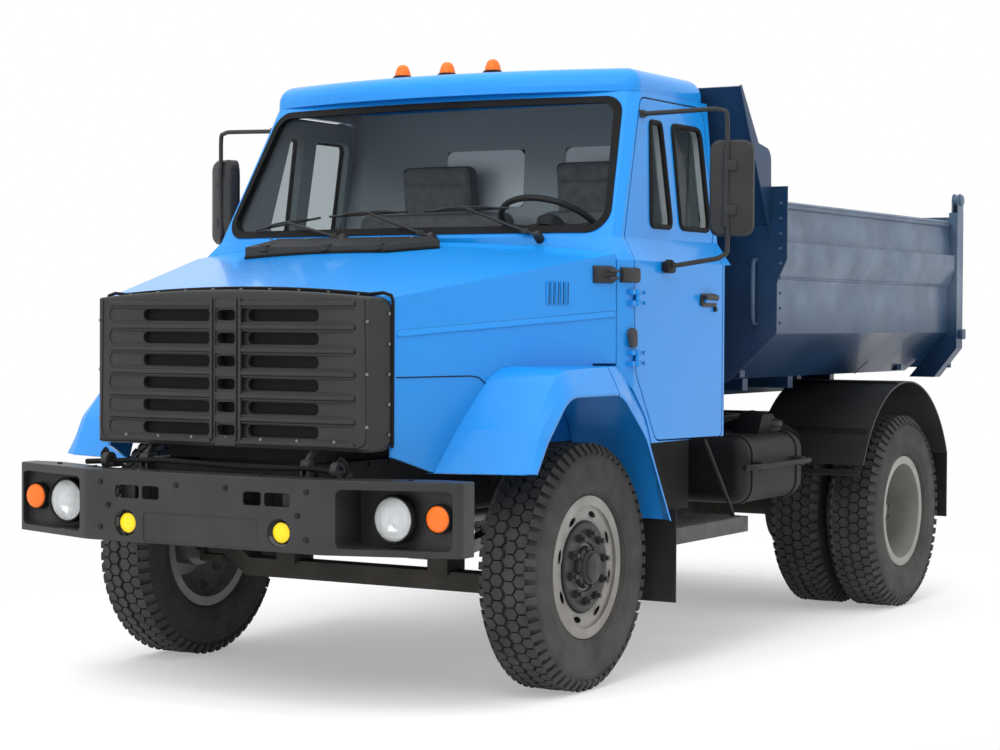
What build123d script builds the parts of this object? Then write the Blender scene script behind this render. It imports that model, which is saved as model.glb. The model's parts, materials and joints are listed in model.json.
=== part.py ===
from build123d import *
import os
from math import atan2, cos, degrees, hypot, radians, sin, tan

# Two-axle bonneted tipper lorry in millimetres. +Z is up, the cab faces -Y and +X is its left.
# The origin is on the ground under the middle of the vehicle's length.
# "station" is a distance behind the front axle.

os.makedirs("parts", exist_ok=True)

# ---------------------------------------------------------------- driving dimensions
wheelbase = 3300
front_overhang = 1165
rear_overhang = 915

tyre_diameter = 1010
tyre_width = 258
rim_radius = 262
rim_flange = 290
front_track = 1930
rear_track = 1850
twin_spacing = 318

rail_half_gap = 355
rail_flange = 75
rail_height = 230
rail_top = 950
rail_wall = 8
frame_front = -985
frame_rear = wheelbase + 710

bumper_half_width = 1080
bumper_bottom = 627
bumper_top = 908
bumper_sheet = 8

hood_front = -885
hood_rear = 200
hood_skin = 14
panel_gap = 7

cab_floor = 990
cab_belt = 1760
cab_shoulder = 1860
cab_eaves = 2500
cab_half_width = 1120
cab_wall = 45
floor_sheet = 30
roof_rise = 106

door_bottom = 990
door_open = 68
glass = 6
seal = 14

bed_half_width = 1150
tip_pivot_height = 1050
bed_floor = tip_pivot_height + 190
bed_top = bed_floor + 810
bed_front = 1700
tailgate_depth = 75
bed_rear = wheelbase + rear_overhang - tailgate_depth
bed_sheet = 8
bed_beam = 110
tip_pivot_station = wheelbase + 660
hinge_pin = 30

running_gap = 8
seat_gap = 0.3

hub_height = tyre_diameter / 2
front_axle_y = front_overhang - (front_overhang + wheelbase + rear_overhang) / 2
rear_axle = wheelbase


def station(distance):
    """Y of a place this far behind the front axle."""
    return front_axle_y + distance


def side_plane(x):
    """Lengthwise upright plane at x: drawn in (Y, Z), extruded towards +X."""
    return Plane(origin=(x, 0, 0), x_dir=(0, 1, 0), z_dir=(1, 0, 0))


def cross_plane(distance):
    """Crosswise upright plane at a station: drawn in (X, Z), extruded rearwards by minus amounts."""
    return Plane(origin=(0, station(distance), 0), x_dir=(1, 0, 0), z_dir=(0, -1, 0))


def outline(plane, corners):
    """Closed outline through (u, v, corner radius) rows."""
    with BuildSketch(plane) as shape:
        Polygon(*[(u, v) for u, v, radius in corners], align=None)
        for u, v, radius in corners:
            if radius > 0:
                corner = shape.vertices().sort_by_distance(Vector(u, v))[0]
                fillet(corner, radius)
    return shape.sketch


def side_outline(x, corners):
    """Outline in a side plane through (station, height, corner radius) rows."""
    return outline(side_plane(x), [(station(s), z, radius) for s, z, radius in corners])


def block(low, high, mode=Mode.ADD):
    """Box between two corners given as (x, station, z)."""
    size = [high[i] - low[i] for i in range(3)]
    centre = (low[0] + size[0] / 2, station(low[1] + size[1] / 2), low[2] + size[2] / 2)
    with Locations(centre):
        Box(*size, mode=mode)


def rod(start, end, radius, mode=Mode.ADD):
    """Round bar between two points given as (x, station, z)."""
    a = Vector(start[0], station(start[1]), start[2])
    b = Vector(end[0], station(end[1]), end[2])
    with BuildSketch(Plane(origin=a, z_dir=b - a)) as section:
        Circle(radius)
    extrude(section.sketch, amount=(b - a).length, mode=mode)


def bent_tube(points, radius, bend):
    """Round tube along points given as (x, station, z), its corners bent to one radius."""
    path_points = [Vector(x, station(s), z) for x, s, z in points]
    with BuildLine() as path:
        FilletPolyline(*path_points, radius=bend)
    with BuildSketch(Plane(origin=path_points[0], z_dir=path_points[1] - path_points[0])) as section:
        Circle(radius)
    sweep(section.sketch, path=path.wires()[0])


def mirrored(original):
    """The same piece on the other side of the lorry."""
    with BuildPart() as copy:
        mirror(original.part, about=Plane.YZ)
    return copy


pieces = {}

# ---------------------------------------------------------------- frame
# (station, length, bottom height)
cross_members = [(frame_front, 70, 740), (1440, 90, 800), (2030, 90, 728), (2960, 90, 728), (frame_rear - 80, 80, 728)]

with BuildPart() as frame:
    rail_web = rail_half_gap + rail_flange
    for side in (-1, 1):
        block(
            (min(side * rail_half_gap, side * rail_web), frame_front, rail_top - rail_height),
            (max(side * rail_half_gap, side * rail_web), frame_rear, rail_top),
        )
        block(
            (min(side * (rail_half_gap - 1), side * (rail_web - rail_wall)), frame_front - 1,
             rail_top - rail_height + rail_wall),
            (max(side * (rail_half_gap - 1), side * (rail_web - rail_wall)), frame_rear + 1,
             rail_top - rail_wall),
            mode=Mode.SUBTRACT,
        )
    for member_station, member_length, member_bottom in cross_members:
        block(
            (-(rail_web - rail_wall), member_station, member_bottom),
            (rail_web - rail_wall, member_station + member_length, rail_top - rail_wall),
        )
        block(
            (-(rail_web - 2 * rail_wall), member_station + rail_wall, member_bottom - 1),
            (rail_web - 2 * rail_wall, member_station + member_length + 1, rail_top - 2 * rail_wall),
            mode=Mode.SUBTRACT,
        )

# tipping subframe on top of the rails, with the lugs of the bed's pivot
subframe_height = tip_pivot_height - 44 - rail_top
rail_centre = rail_half_gap + rail_flange / 2
lug_width = 24
with BuildPart() as subframe:
    for side in (-1, 1):
        block(
            (min(side * rail_half_gap, side * rail_web), 1500, rail_top),
            (max(side * rail_half_gap, side * rail_web), frame_rear - 10, rail_top + subframe_height),
        )
        lug_centre = side * (rail_half_gap + rail_flange / 2)
        with BuildSketch(side_plane(lug_centre - lug_width / 2)) as lug:
            with Locations((station(tip_pivot_station), tip_pivot_height)):
                Circle(42)
            with Locations((station(tip_pivot_station), tip_pivot_height - 24)):
                Rectangle(84, 48)
            with Locations((station(tip_pivot_station), tip_pivot_height)):
                Circle(hinge_pin / 2, mode=Mode.SUBTRACT)
        extrude(lug.sketch, amount=lug_width)
    # rubber-block mounts under the cab
    for mount_station in (760, 1120):
        for side in (-1, 1):
            block((side * rail_centre - 30, mount_station, rail_top), (side * rail_centre + 30, mount_station + 60, cab_floor - seat_gap))
    for member_station in (1500, 1950, 3060, 3450):
        block(
            (-rail_half_gap, member_station, rail_top + 5),
            (rail_half_gap, member_station + 60, rail_top + subframe_height),
        )

# ---------------------------------------------------------------- bumper
bumper_knee = 575
bumper_end_station = -1000
pocket_floor = -975
pocket_wall = 8
lamp_height = 762
def bumper_plan(inset, back):
    """Plan corners of the bumper, its face set in by inset and its back at a station."""
    return [
        (-bumper_half_width + inset, station(back)),
        (-bumper_half_width + inset, station(bumper_end_station + inset)),
        (-bumper_knee + inset * 0.2, station(-front_overhang + inset)),
        (bumper_knee - inset * 0.2, station(-front_overhang + inset)),
        (bumper_half_width - inset, station(bumper_end_station + inset)),
        (bumper_half_width - inset, station(back)),
    ]


bumper_back = -905
bumper_bracket_front = -1122
pocket_low = 652
pocket_high = 874
pocket_inner = 622
pocket_outer = bumper_half_width - 30
fog_x = 374
fog_height = 700
fog_radius = 52
plate_half_width = 283
tow_windows = [(205, 290), (305, 425)]
hood_hinge_x = rail_half_gap + 40
hood_hinge_station = -1010
hood_hinge_height = 950
hook_x = 560
hook_station = -1045
hook_rise = 28
hook_bore = 17
hook_width = 28

with BuildPart() as bumper_body:
    with BuildSketch(Plane.XY.offset(bumper_bottom)) as body_plan:
        Polygon(*bumper_plan(0, bumper_back), align=None)
        ends = body_plan.vertices().filter_by(lambda v: abs(v.Y - station(bumper_end_station)) < 1)
        fillet(ends, 34)
        knees = body_plan.vertices().filter_by(lambda v: abs(v.Y - station(-front_overhang)) < 1)
        fillet(knees, 120)
    extrude(body_plan.sketch, amount=bumper_top - bumper_bottom)
    fillet(bumper_body.faces().sort_by(Axis.Z)[-1].edges().filter_by(lambda e: e.center().Y < station(bumper_back - 5)), 6)

with BuildPart() as lamp_boxes:
    for side in (-1, 1):
        with BuildSketch(cross_plane(pocket_floor + pocket_wall)) as pocket_block:
            with Locations((side * (pocket_inner + pocket_outer) / 2, (pocket_low + pocket_high) / 2)):
                RectangleRounded(pocket_outer - pocket_inner + 2 * pocket_wall,
                                 pocket_high - pocket_low + 2 * pocket_wall, 30)
        extrude(pocket_block.sketch, amount=pocket_floor + pocket_wall + front_overhang + 5)
    add(bumper_body.part, mode=Mode.INTERSECT)

with BuildPart() as bumper:
    add(bumper_body.part)
    with BuildSketch(Plane.XY.offset(bumper_bottom + bumper_sheet)):
        Polygon(*bumper_plan(bumper_sheet, bumper_back + 10), align=None)
    extrude(amount=bumper_top - bumper_bottom - 2 * bumper_sheet, mode=Mode.SUBTRACT)
    with BuildSketch(Plane.XY.offset(bumper_bottom - 1)):
        Polygon(
            (-bumper_half_width + 130, station(bumper_back + 10)),
            (-bumper_knee + 40, station(-front_overhang + 110)),
            (bumper_knee - 40, station(-front_overhang + 110)),
            (bumper_half_width - 130, station(bumper_back + 10)),
            align=None,
        )
    extrude(amount=bumper_top - bumper_bottom + 2, mode=Mode.SUBTRACT)
    add(lamp_boxes.part)
    for side in (-1, 1):
        with BuildSketch(cross_plane(pocket_floor)) as pocket:
            with Locations((side * (pocket_inner + pocket_outer) / 2, (pocket_low + pocket_high) / 2)):
                RectangleRounded(pocket_outer - pocket_inner, pocket_high - pocket_low, 24)
        extrude(pocket.sketch, amount=pocket_floor + front_overhang + 6, mode=Mode.SUBTRACT)
    with BuildSketch(cross_plane(-front_overhang - 1)) as cuts:
        for inner, outer in tow_windows:
            with Locations(((inner + outer) / 2, 825), (-(inner + outer) / 2, 825)):
                RectangleRounded(outer - inner, 52, 12)
        with Locations((fog_x, fog_height), (-fog_x, fog_height)):
            Circle(fog_radius + 2)
    extrude(cuts.sketch, amount=-(bumper_sheet + 2), mode=Mode.SUBTRACT)
    with BuildSketch(cross_plane(-front_overhang - 1)) as plate:
        with Locations((0, 690)):
            RectangleRounded(2 * plate_half_width, 118, 16)
    extrude(plate.sketch, amount=-4, mode=Mode.SUBTRACT)
    for side in (-1, 1):
        block(
            (min(side * (rail_half_gap + 5), side * rail_web), bumper_bracket_front, bumper_top - bumper_sheet - 138),
            (max(side * (rail_half_gap + 5), side * rail_web), frame_front, bumper_top - bumper_sheet),
        )
    # ears of the hood's hinges, standing on the bumper's brackets
    for side in (-1, 1):
        for ear in (-1, 1):
            with BuildSketch(side_plane(side * hood_hinge_x + ear * 15 - 5)) as hinge_ear:
                with Locations((station(hood_hinge_station), hood_hinge_height)):
                    Circle(20)
                with Locations((station(hood_hinge_station), (hood_hinge_height + bumper_top - 20) / 2)):
                    Rectangle(40, hood_hinge_height - bumper_top + 20)
                with Locations((station(hood_hinge_station), hood_hinge_height)):
                    Circle(12.3, mode=Mode.SUBTRACT)
            extrude(hinge_ear.sketch, amount=10)
    # tow eyes on the bumper's top
    for side in (-1, 1):
        with BuildSketch(side_plane(side * hook_x - hook_width / 2)) as hook:
            with Locations((station(hook_station), bumper_top + hook_rise)):
                Circle(34)
            with Locations((station(hook_station + 35), bumper_top + 9)):
                Rectangle(90, 18)
            with Locations((station(hook_station), bumper_top + hook_rise)):
                Circle(hook_bore, mode=Mode.SUBTRACT)
            with Locations((station(hook_station), bumper_top - 20)):
                Rectangle(200, 40, mode=Mode.SUBTRACT)
        extrude(hook.sketch, amount=hook_width)
pieces["bumper"] = bumper

# ---------------------------------------------------------------- lamps of the bumper
headlamp_radius = 92
headlamp_x = 799
headlamp_front = -1031
turn_lamp_radius = 54
turn_lamp_x = 984
turn_lamp_front = -1005


def round_lamp(x, height, front, radius, dome):
    """Domed round lamp looking straight ahead from the floor of a lamp pocket."""
    with BuildSketch(cross_plane(pocket_floor)) as base:
        with Locations((x, height)):
            Circle(radius)
    extrude(base.sketch, amount=pocket_floor - front - dome)
    with BuildSketch(cross_plane(front + dome)) as low:
        with Locations((x, height)):
            Circle(radius - 5)
    with BuildSketch(cross_plane(front)) as high:
        with Locations((x, height)):
            Circle(radius * 0.6)
    loft([low.sketch, high.sketch])


with BuildPart() as headlamps:
    for side in (-1, 1):
        round_lamp(side * headlamp_x, lamp_height, headlamp_front, headlamp_radius, 16)
pieces["headlamps"] = headlamps

with BuildPart() as turn_lamps:
    for side in (-1, 1):
        round_lamp(side * turn_lamp_x, lamp_height + 8, turn_lamp_front, turn_lamp_radius, 10)
pieces["turn_lamps"] = turn_lamps

with BuildPart() as fog_lamps:
    for side in (-1, 1):
        with BuildSketch(cross_plane(-front_overhang + 60)) as base:
            with Locations((side * fog_x, fog_height)):
                Circle(fog_radius)
        extrude(base.sketch, amount=41)
    fillet(fog_lamps.faces().sort_by(Axis.Y)[:2].edges(), 10)
    for side in (-1, 1):
        block((side * fog_x - 15, -front_overhang + 50, bumper_bottom + bumper_sheet),
              (side * fog_x + 15, -front_overhang + 80, fog_height))
pieces["fog_lamps"] = fog_lamps

# ---------------------------------------------------------------- wheels
twin_inner = (rear_track - twin_spacing) / 2
twin_outer = (rear_track + twin_spacing) / 2


def tyre(centres):
    """Tyres on the X axis line of an axle, given their middle planes."""
    half = tyre_width / 2
    bead = tyre_width * 0.40 - 12.5
    radius = tyre_diameter / 2
    for centre_x, centre_station in centres:
        with BuildSketch(Plane(origin=(centre_x, station(centre_station), hub_height),
                               x_dir=(1, 0, 0), z_dir=(0, 1, 0))) as section:
            with BuildLine():
                Polyline(
                    (-bead, -rim_radius - seat_gap),
                    (-bead, -rim_flange - 1),
                    (-bead - 13, -rim_flange - 6),
                    (-half, -(rim_flange + radius) / 2 + 6),
                    (-half * 0.93, -radius + 48),
                    (-half * 0.82, -radius + 8),
                    (-half * 0.5, -radius),
                    (half * 0.5, -radius),
                    (half * 0.82, -radius + 8),
                    (half * 0.93, -radius + 48),
                    (half, -(rim_flange + radius) / 2 + 6),
                    (bead + 13, -rim_flange - 6),
                    (bead, -rim_flange - 1),
                    (bead, -rim_radius - seat_gap),
                    close=True,
                )
            make_face()
        axle_line = Axis((centre_x, station(centre_station), hub_height), (1, 0, 0))
        revolve(section.sketch, axis=axle_line)


def disc_section(centre_x, centre_station, side, rows):
    """Solid of revolution about the axle from (distance outwards, radius) rows."""
    with BuildSketch(Plane(origin=(centre_x, station(centre_station), hub_height),
                           x_dir=(side, 0, 0), z_dir=(0, side, 0))) as section:
        Polygon(*[(out, -radius) for out, radius in rows], align=None)
    revolve(section.sketch, axis=Axis((centre_x, station(centre_station), hub_height), (1, 0, 0)))


def rim(centre_x, centre_station, side, disc_out):
    """Rim well with its disc set disc_out outwards of the tyre's middle plane."""
    half = tyre_width * 0.40
    disc_section(centre_x, centre_station, side, [
        (-half, rim_flange), (-half, rim_radius - 12), (half, rim_radius - 12), (half, rim_flange),
        (half - 12, rim_flange), (half - 12, rim_radius - 0.5), (-half + 12, rim_radius - 0.5),
        (-half + 12, rim_flange),
    ])
    disc_section(centre_x, centre_station, side, [
        (disc_out, 66), (disc_out, 172), (disc_out - 74, rim_radius - 11), (disc_out - 90, rim_radius - 11),
        (disc_out - 12, 160), (disc_out - 12, 66),
    ])


tyre_front_centre = front_track / 2
front_disc_out = 55
spindle_radius = 45
hub_face = tyre_front_centre + front_disc_out
with BuildPart() as tyre_front_left:
    tyre([(tyre_front_centre, 0)])
with BuildPart() as rim_front_left:
    rim(tyre_front_centre, 0, 1, front_disc_out)
    disc_section(tyre_front_centre, 0, 1, [
        (-45, spindle_radius + seat_gap), (-45, 110), (front_disc_out - 12, 110), (front_disc_out - 12, 120),
        (front_disc_out + 30, 120), (front_disc_out + 35, 70), (front_disc_out + 70, 62),
        (front_disc_out + 70, 0), (10, 0), (10, spindle_radius + seat_gap),
    ])
    with BuildSketch(Plane(origin=(hub_face - 30, station(0), hub_height), x_dir=(0, 1, 0), z_dir=(1, 0, 0))) as slots:
        with PolarLocations(218, 10):
            SlotOverall(62, 34, rotation=90)
    extrude(slots.sketch, amount=60, both=True, mode=Mode.SUBTRACT)
tyre_front_right = mirrored(tyre_front_left)
rim_front_right = mirrored(rim_front_left)

axle_radius = 57
with BuildPart() as tyres_rear_left:
    tyre([(twin_inner, rear_axle), (twin_outer, rear_axle)])
with BuildPart() as rims_rear_left:
    middle = rear_track / 2
    rim(twin_inner, rear_axle, 1, middle - twin_inner)
    rim(twin_outer, rear_axle, -1, twin_outer - middle)
    disc_section(middle, rear_axle, 1, [
        (-150, axle_radius + seat_gap), (-150, 110), (-12, 110), (-12, 120), (12, 120), (16, 95), (150, 88), (158, 70),
        (158, 0), (60, 0), (60, axle_radius + seat_gap),
    ])
    with BuildSketch(Plane(origin=(middle, station(rear_axle), hub_height), x_dir=(0, 1, 0), z_dir=(1, 0, 0))) as slots:
        with PolarLocations(212, 8):
            SlotOverall(60, 34, rotation=90)
    extrude(slots.sketch, amount=70, both=True, mode=Mode.SUBTRACT)
tyres_rear_right = mirrored(tyres_rear_left)
rims_rear_right = mirrored(rims_rear_left)
pieces["tyre_front_left"] = tyre_front_left
pieces["rim_front_left"] = rim_front_left
pieces["tyre_front_right"] = tyre_front_right
pieces["rim_front_right"] = rim_front_right
pieces["tyres_rear_left"] = tyres_rear_left
pieces["rims_rear_left"] = rims_rear_left
pieces["tyres_rear_right"] = tyres_rear_right
pieces["rims_rear_right"] = rims_rear_right

# ---------------------------------------------------------------- axles, knuckles and springs
kingpin_x = 800
beam_half_depth = 55
spring_x = 392
spring_width = 75
front_spring_seat = 560
rear_spring_seat = 640
leaf = 11

with BuildPart() as front_axle:
    with BuildSketch(cross_plane(-beam_half_depth)) as beam:
        Polygon(
            (-kingpin_x - 30, hub_height + 45), (-kingpin_x - 30, hub_height - 45),
            (-kingpin_x + 60, hub_height - 45), (-620, 372), (620, 372), (kingpin_x - 60, hub_height - 45),
            (kingpin_x + 30, hub_height - 45), (kingpin_x + 30, hub_height + 45),
            (kingpin_x - 70, hub_height + 45), (600, 452), (-600, 452), (-kingpin_x + 70, hub_height + 45),
            align=None,
        )
    extrude(beam.sketch, amount=-2 * beam_half_depth)
    for side in (-1, 1):
        block((side * spring_x - 50, -70, 440), (side * spring_x + 50, 70, front_spring_seat - 5 * leaf - seat_gap))
        rod((side * kingpin_x, 0, hub_height - 46), (side * kingpin_x, 0, hub_height + 46), 20.05,
            mode=Mode.SUBTRACT)
pieces["front_axle"] = front_axle

with BuildPart() as knuckle_left:
    rod((kingpin_x, 0, hub_height - 85), (kingpin_x, 0, hub_height + 85), 20)
    block((kingpin_x - 40, -45, hub_height + 52), (kingpin_x + 85, 45, hub_height + 85))
    block((kingpin_x - 40, -45, hub_height - 85), (kingpin_x + 85, 45, hub_height - 52))
    block((kingpin_x + 66, -45, hub_height - 85), (kingpin_x + 85, 45, hub_height + 85))
    rod((kingpin_x + 85, 0, hub_height), (tyre_front_centre + 5, 0, hub_height), spindle_radius)
knuckle_right = mirrored(knuckle_left)
pieces["knuckle_left"] = knuckle_left
pieces["knuckle_right"] = knuckle_right


def leaf_spring(axle_station, reach, seat_height, leaves):
    """Leaf packs under both rails: each leaf is shorter than the one above it."""
    rise = eye_height - seat_height
    radius = (reach ** 2 + rise ** 2) / (2 * rise)
    for side in (-1, 1):
        for number in range(leaves):
            share = 1 - 0.8 * number / leaves
            with BuildSketch(side_plane(side * spring_x - spring_width / 2)) as strip:
                with Locations((station(axle_station), seat_height + radius)):
                    Circle(radius + leaf * (number + 1))
                    Circle(radius + leaf * number, mode=Mode.SUBTRACT)
                with Locations((station(axle_station), seat_height)):
                    Rectangle(2 * reach * share, 600, mode=Mode.INTERSECT)
            extrude(strip.sketch, amount=spring_width)


front_reach = 650
rear_reach = 600
front_spring_ends = (-front_reach, front_reach)
rear_spring_ends = (rear_axle - rear_reach, rear_axle + rear_reach)
eye_height = 675
eye_radius = 26
hanger_sheet = 10
with BuildPart() as springs:
    leaf_spring(0, front_reach, front_spring_seat, 5)
    leaf_spring(rear_axle, rear_reach, rear_spring_seat, 7)
    for side in (-1, 1):
        spring_inner = side * spring_x - spring_width / 2
        spring_outer = side * spring_x + spring_width / 2
        for end in (*front_spring_ends, *rear_spring_ends):
            rod((spring_inner, end, eye_height), (spring_outer, end, eye_height), eye_radius)
pieces["springs"] = springs

with BuildPart() as spring_hangers:
    for side in (-1, 1):
        for end in (*front_spring_ends, *rear_spring_ends):
            hanger_half = spring_width / 2 + seat_gap
            block((side * spring_x - hanger_half - hanger_sheet, end - 32, eye_height - 40),
                  (side * spring_x + hanger_half + hanger_sheet, end + 32, rail_top - rail_height))
            block((side * spring_x - hanger_half, end - 33, eye_height - 41),
                  (side * spring_x + hanger_half, end + 33, rail_top - rail_height - hanger_sheet), mode=Mode.SUBTRACT)

with BuildPart() as rear_axle_housing:
    rod((-rear_track / 2 - 58, rear_axle, hub_height), (rear_track / 2 + 58, rear_axle, hub_height), axle_radius)
    with Locations((0, station(rear_axle), hub_height)):
        Sphere(205)
    rod((0, rear_axle - 330, hub_height + 10), (0, rear_axle, hub_height), 85)
    for side in (-1, 1):
        rod((side * 480, rear_axle, hub_height), (side * (rear_track / 2 - 170), rear_axle, hub_height), 195)
        block((side * spring_x - 50, rear_axle - 80, hub_height),
              (side * spring_x + 50, rear_axle + 80, rear_spring_seat - 7 * leaf - seat_gap))
pieces["rear_axle"] = rear_axle_housing

# ---------------------------------------------------------------- driveline
with BuildPart() as engine:
    block((-330, -760, 640), (330, 60, 1330))
    block((-200, 60, 640), (200, 560, 960))
    block((-150, 560, 660), (150, 1150, 940))
    block((-60, 1150, 700), (60, 1175, 820))
pieces["engine"] = engine

with BuildPart() as radiator:
    block((-390, -870, rail_top + seat_gap), (390, -810, 1480))
    block((-340, -810, 980), (340, -775, 1460))
pieces["radiator"] = radiator

with BuildPart() as drive_shaft:
    rod((0, 1175.5, 760), (0, rear_axle - 331, hub_height + 10), 36)
    split(bisect_by=Plane(origin=(0, station(1175.5), 0), z_dir=(0, 1, 0)), keep=Keep.TOP)
    split(bisect_by=Plane(origin=(0, station(rear_axle - 331), 0), z_dir=(0, 1, 0)), keep=Keep.BOTTOM)
pieces["drive_shaft"] = drive_shaft

with BuildPart() as silencer:
    rod((-240, 1460, 560), (-240, 2260, 560), 100)
    rod((-240, 300, 560), (-240, 1460, 560), 30)
    rod((-240, 2260, 560), (-240, 2600, 560), 30)
    for hanger in (1470, 2060):
        block((-250, hanger, 650), (-230, hanger + 30, rail_top - 2 * rail_wall - seat_gap))
pieces["silencer"] = silencer

# ---------------------------------------------------------------- side equipment
tank_inner = rail_web + 60
tank_outer = 1100
tank_bottom = 657
tank_top = 970
tank_front = 1470
tank_rear = 2180
with BuildPart() as fuel_tank:
    with BuildSketch(cross_plane(tank_front)) as tank_section:
        with Locations(((tank_inner + tank_outer) / 2, (tank_bottom + tank_top) / 2)):
            RectangleRounded(tank_outer - tank_inner, tank_top - tank_bottom, 85)
    extrude(tank_section.sketch, amount=-(tank_rear - tank_front))
    fillet(fuel_tank.faces().filter_by(Axis.Y).edges(), 60)
    with BuildSketch(cross_plane(1870)) as neck:
        Polygon((840, 950), (980, 940), (1010, 1060), (900, 1075), align=None)
    extrude(neck.sketch, amount=-130)
pieces["fuel_tank"] = fuel_tank

with BuildPart() as tank_brackets:
    for bracket in (tank_front + 75, tank_rear - 115):
        block((rail_web, bracket, 735), (tank_inner - 6, bracket + 40, 900))
    for strap in (tank_front + 75, tank_rear - 115):
        with BuildSketch(cross_plane(strap)) as band:
            with Locations(((tank_inner + tank_outer) / 2, (tank_bottom + tank_top) / 2)):
                RectangleRounded(tank_outer - tank_inner + 12, tank_top - tank_bottom + 12, 91)
                RectangleRounded(tank_outer - tank_inner + 0.6, tank_top - tank_bottom + 0.6, 85.3, mode=Mode.SUBTRACT)
        extrude(band.sketch, amount=-40)

step_top = 615
step_front = 640
step_rear = 1400
with BuildPart() as side_boxes:
    for side in (-1, 1):
        block((min(side * (rail_web + 8), side * 850), 700, 640), (max(side * (rail_web + 8), side * 850), 1390, 960))
pieces["side_boxes"] = side_boxes

with BuildPart() as steps:
    for side in (-1, 1):
        block((min(side * 860, side * 1150), step_front, step_top - 70), (max(side * 860, side * 1150), step_rear, step_top))
        for bar in (740, 1300):
            block((min(side * rail_web, side * 860), bar, step_top - 60), (max(side * rail_web, side * 860), bar + 50, step_top - 5))
            block((min(side * rail_web, side * (rail_web + 8)), bar, step_top - 60),
                  (max(side * rail_web, side * (rail_web + 8)), bar + 50, rail_top - rail_height + 100))
pieces["steps"] = steps

with BuildPart() as air_tanks:
    for height in (600, 880):
        rod((-620, 1480, height), (-620, 2250, height), 115)
    for bracket in (1600, 2100):
        block((-640, bracket, 712), (-rail_web, bracket + 40, 768))
pieces["air_tanks"] = air_tanks

# ---------------------------------------------------------------- rear fenders, mud flaps and tail lamps
fender_radius = 690
fender_sheet = 8
fender_foot = 275
fender_inner = 610
fender_outer = 1212
with BuildPart() as rear_fenders:
    for side in (-1, 1):
        start = min(side * fender_inner, side * fender_outer)
        with BuildSketch(side_plane(start)) as arch:
            with Locations((station(rear_axle), hub_height)):
                Circle(fender_radius)
                Circle(fender_radius - fender_sheet, mode=Mode.SUBTRACT)
            with Locations((station(rear_axle), hub_height + fender_foot - fender_radius)):
                Rectangle(3 * fender_radius, 2 * fender_radius, mode=Mode.SUBTRACT)
        extrude(arch.sketch, amount=fender_outer - fender_inner)
        for bracket in (rear_axle - 420, rear_axle + 400):
            height = hub_height + (fender_radius ** 2 - 420 ** 2) ** 0.5 - 60
            block((min(side * rail_web, side * fender_inner), bracket - 15, 900),
                  (max(side * rail_web, side * fender_inner), bracket + 15, 930))
            block((min(side * (fender_inner - 12), side * fender_inner), bracket - 15, 900),
                  (max(side * (fender_inner - 12), side * fender_inner), bracket + 15, height + 40))
pieces["rear_fenders"] = rear_fenders

flap_sheet = 8
front_flap_station = 618.5
rear_flap_station = rear_axle + 622
with BuildPart() as mud_flaps:
    for side in (-1, 1):
        block((min(side * 805, side * 1165), front_flap_station, 300), (max(side * 805, side * 1165), front_flap_station + flap_sheet, 700))
        block((min(side * 640, side * fender_outer), rear_flap_station, 430),
              (max(side * 640, side * fender_outer), rear_flap_station + flap_sheet, hub_height + fender_foot))
pieces["mud_flaps"] = mud_flaps

with BuildPart() as tail_lamps:
    for side in (-1, 1):
        block((min(side * 640, side * 960), frame_rear - 6, 790), (max(side * 640, side * 960), frame_rear + 40, 890))
pieces["tail_lamps"] = tail_lamps

with BuildPart() as tail_bar:
    for side in (-1, 1):
        block((min(side * rail_web, side * 980), frame_rear - 46, 780), (max(side * rail_web, side * 980), frame_rear - 6, 900))

# ---------------------------------------------------------------- wings (front fenders)
wing_skin = 10
wing_split = 78
# x of the wing's rings: under the hood, along the cab's side, along the crease and at the lip
wing_inner_x = 740
wing_shoulder_x = cab_half_width - 5
wing_crease_x = cab_half_width + 30
wing_lip_x = cab_half_width + 50
# (station, height, corner radius) of the wing's outline on each ring
wing_root = [(-703, 915, 0), (-600, 1082, 150), (-445, 1338, 150), (178, 1338, 130), (424, 1095, 300), (618, 655, 0)]
wing_shoulder = [(-630, 918, 0), (-545, 1086, 150), (-335, 1310, 180), (178, 1322, 130), (424, 1095, 300), (618, 655, 0)]
wing_crease = [(-612, 921, 0), (-530, 1080, 150), (-330, 1256, 160), (168, 1256, 200), (366, 1051, 300), (592, 655, 0)]
wing_lip = [(-604, 921, 0), (-515, 1045, 150), (-345, 1216, 170), (110, 1216, 190), (332, 1030, 300), (565, 655, 0)]


def wing_face(x, rows):
    """Wing outline in a side plane."""
    with BuildSketch(side_plane(x)) as face:
        Polygon(*[(station(s), z) for s, z, radius in rows], align=None)
        for s, z, radius in rows:
            if radius > 0:
                fillet(face.vertices().sort_by_distance(Vector(station(s), z))[0], radius)
    return face.sketch


def inset_rows(rows, inset):
    """The same outline set in sideways and down, its foot lengthened so that a cutter leaves it open."""
    first = rows[0]
    last = rows[-1]
    inner = [(first[0] + inset * 1.2, first[1] - 200, 0), (first[0] + inset * 1.2, first[1], 0)]
    inner += [(s + (inset * 0.6 if s < 0 else -inset * 0.6), z - inset, radius) for s, z, radius in rows[1:-1]]
    inner.append((last[0] - inset * 1.05, last[1], 0))
    inner.append((last[0] - inset * 1.05, last[1] - 200, 0))
    return inner


wing_rings = [
    (wing_inner_x, wing_root), (wing_shoulder_x, wing_shoulder), (wing_crease_x, wing_crease), (wing_lip_x, wing_lip),
]
with BuildPart() as wing_solid:
    for (low_x, low_rows), (high_x, high_rows) in zip(wing_rings, wing_rings[1:]):
        loft([wing_face(low_x, low_rows), wing_face(high_x, high_rows)], ruled=True)

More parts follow.
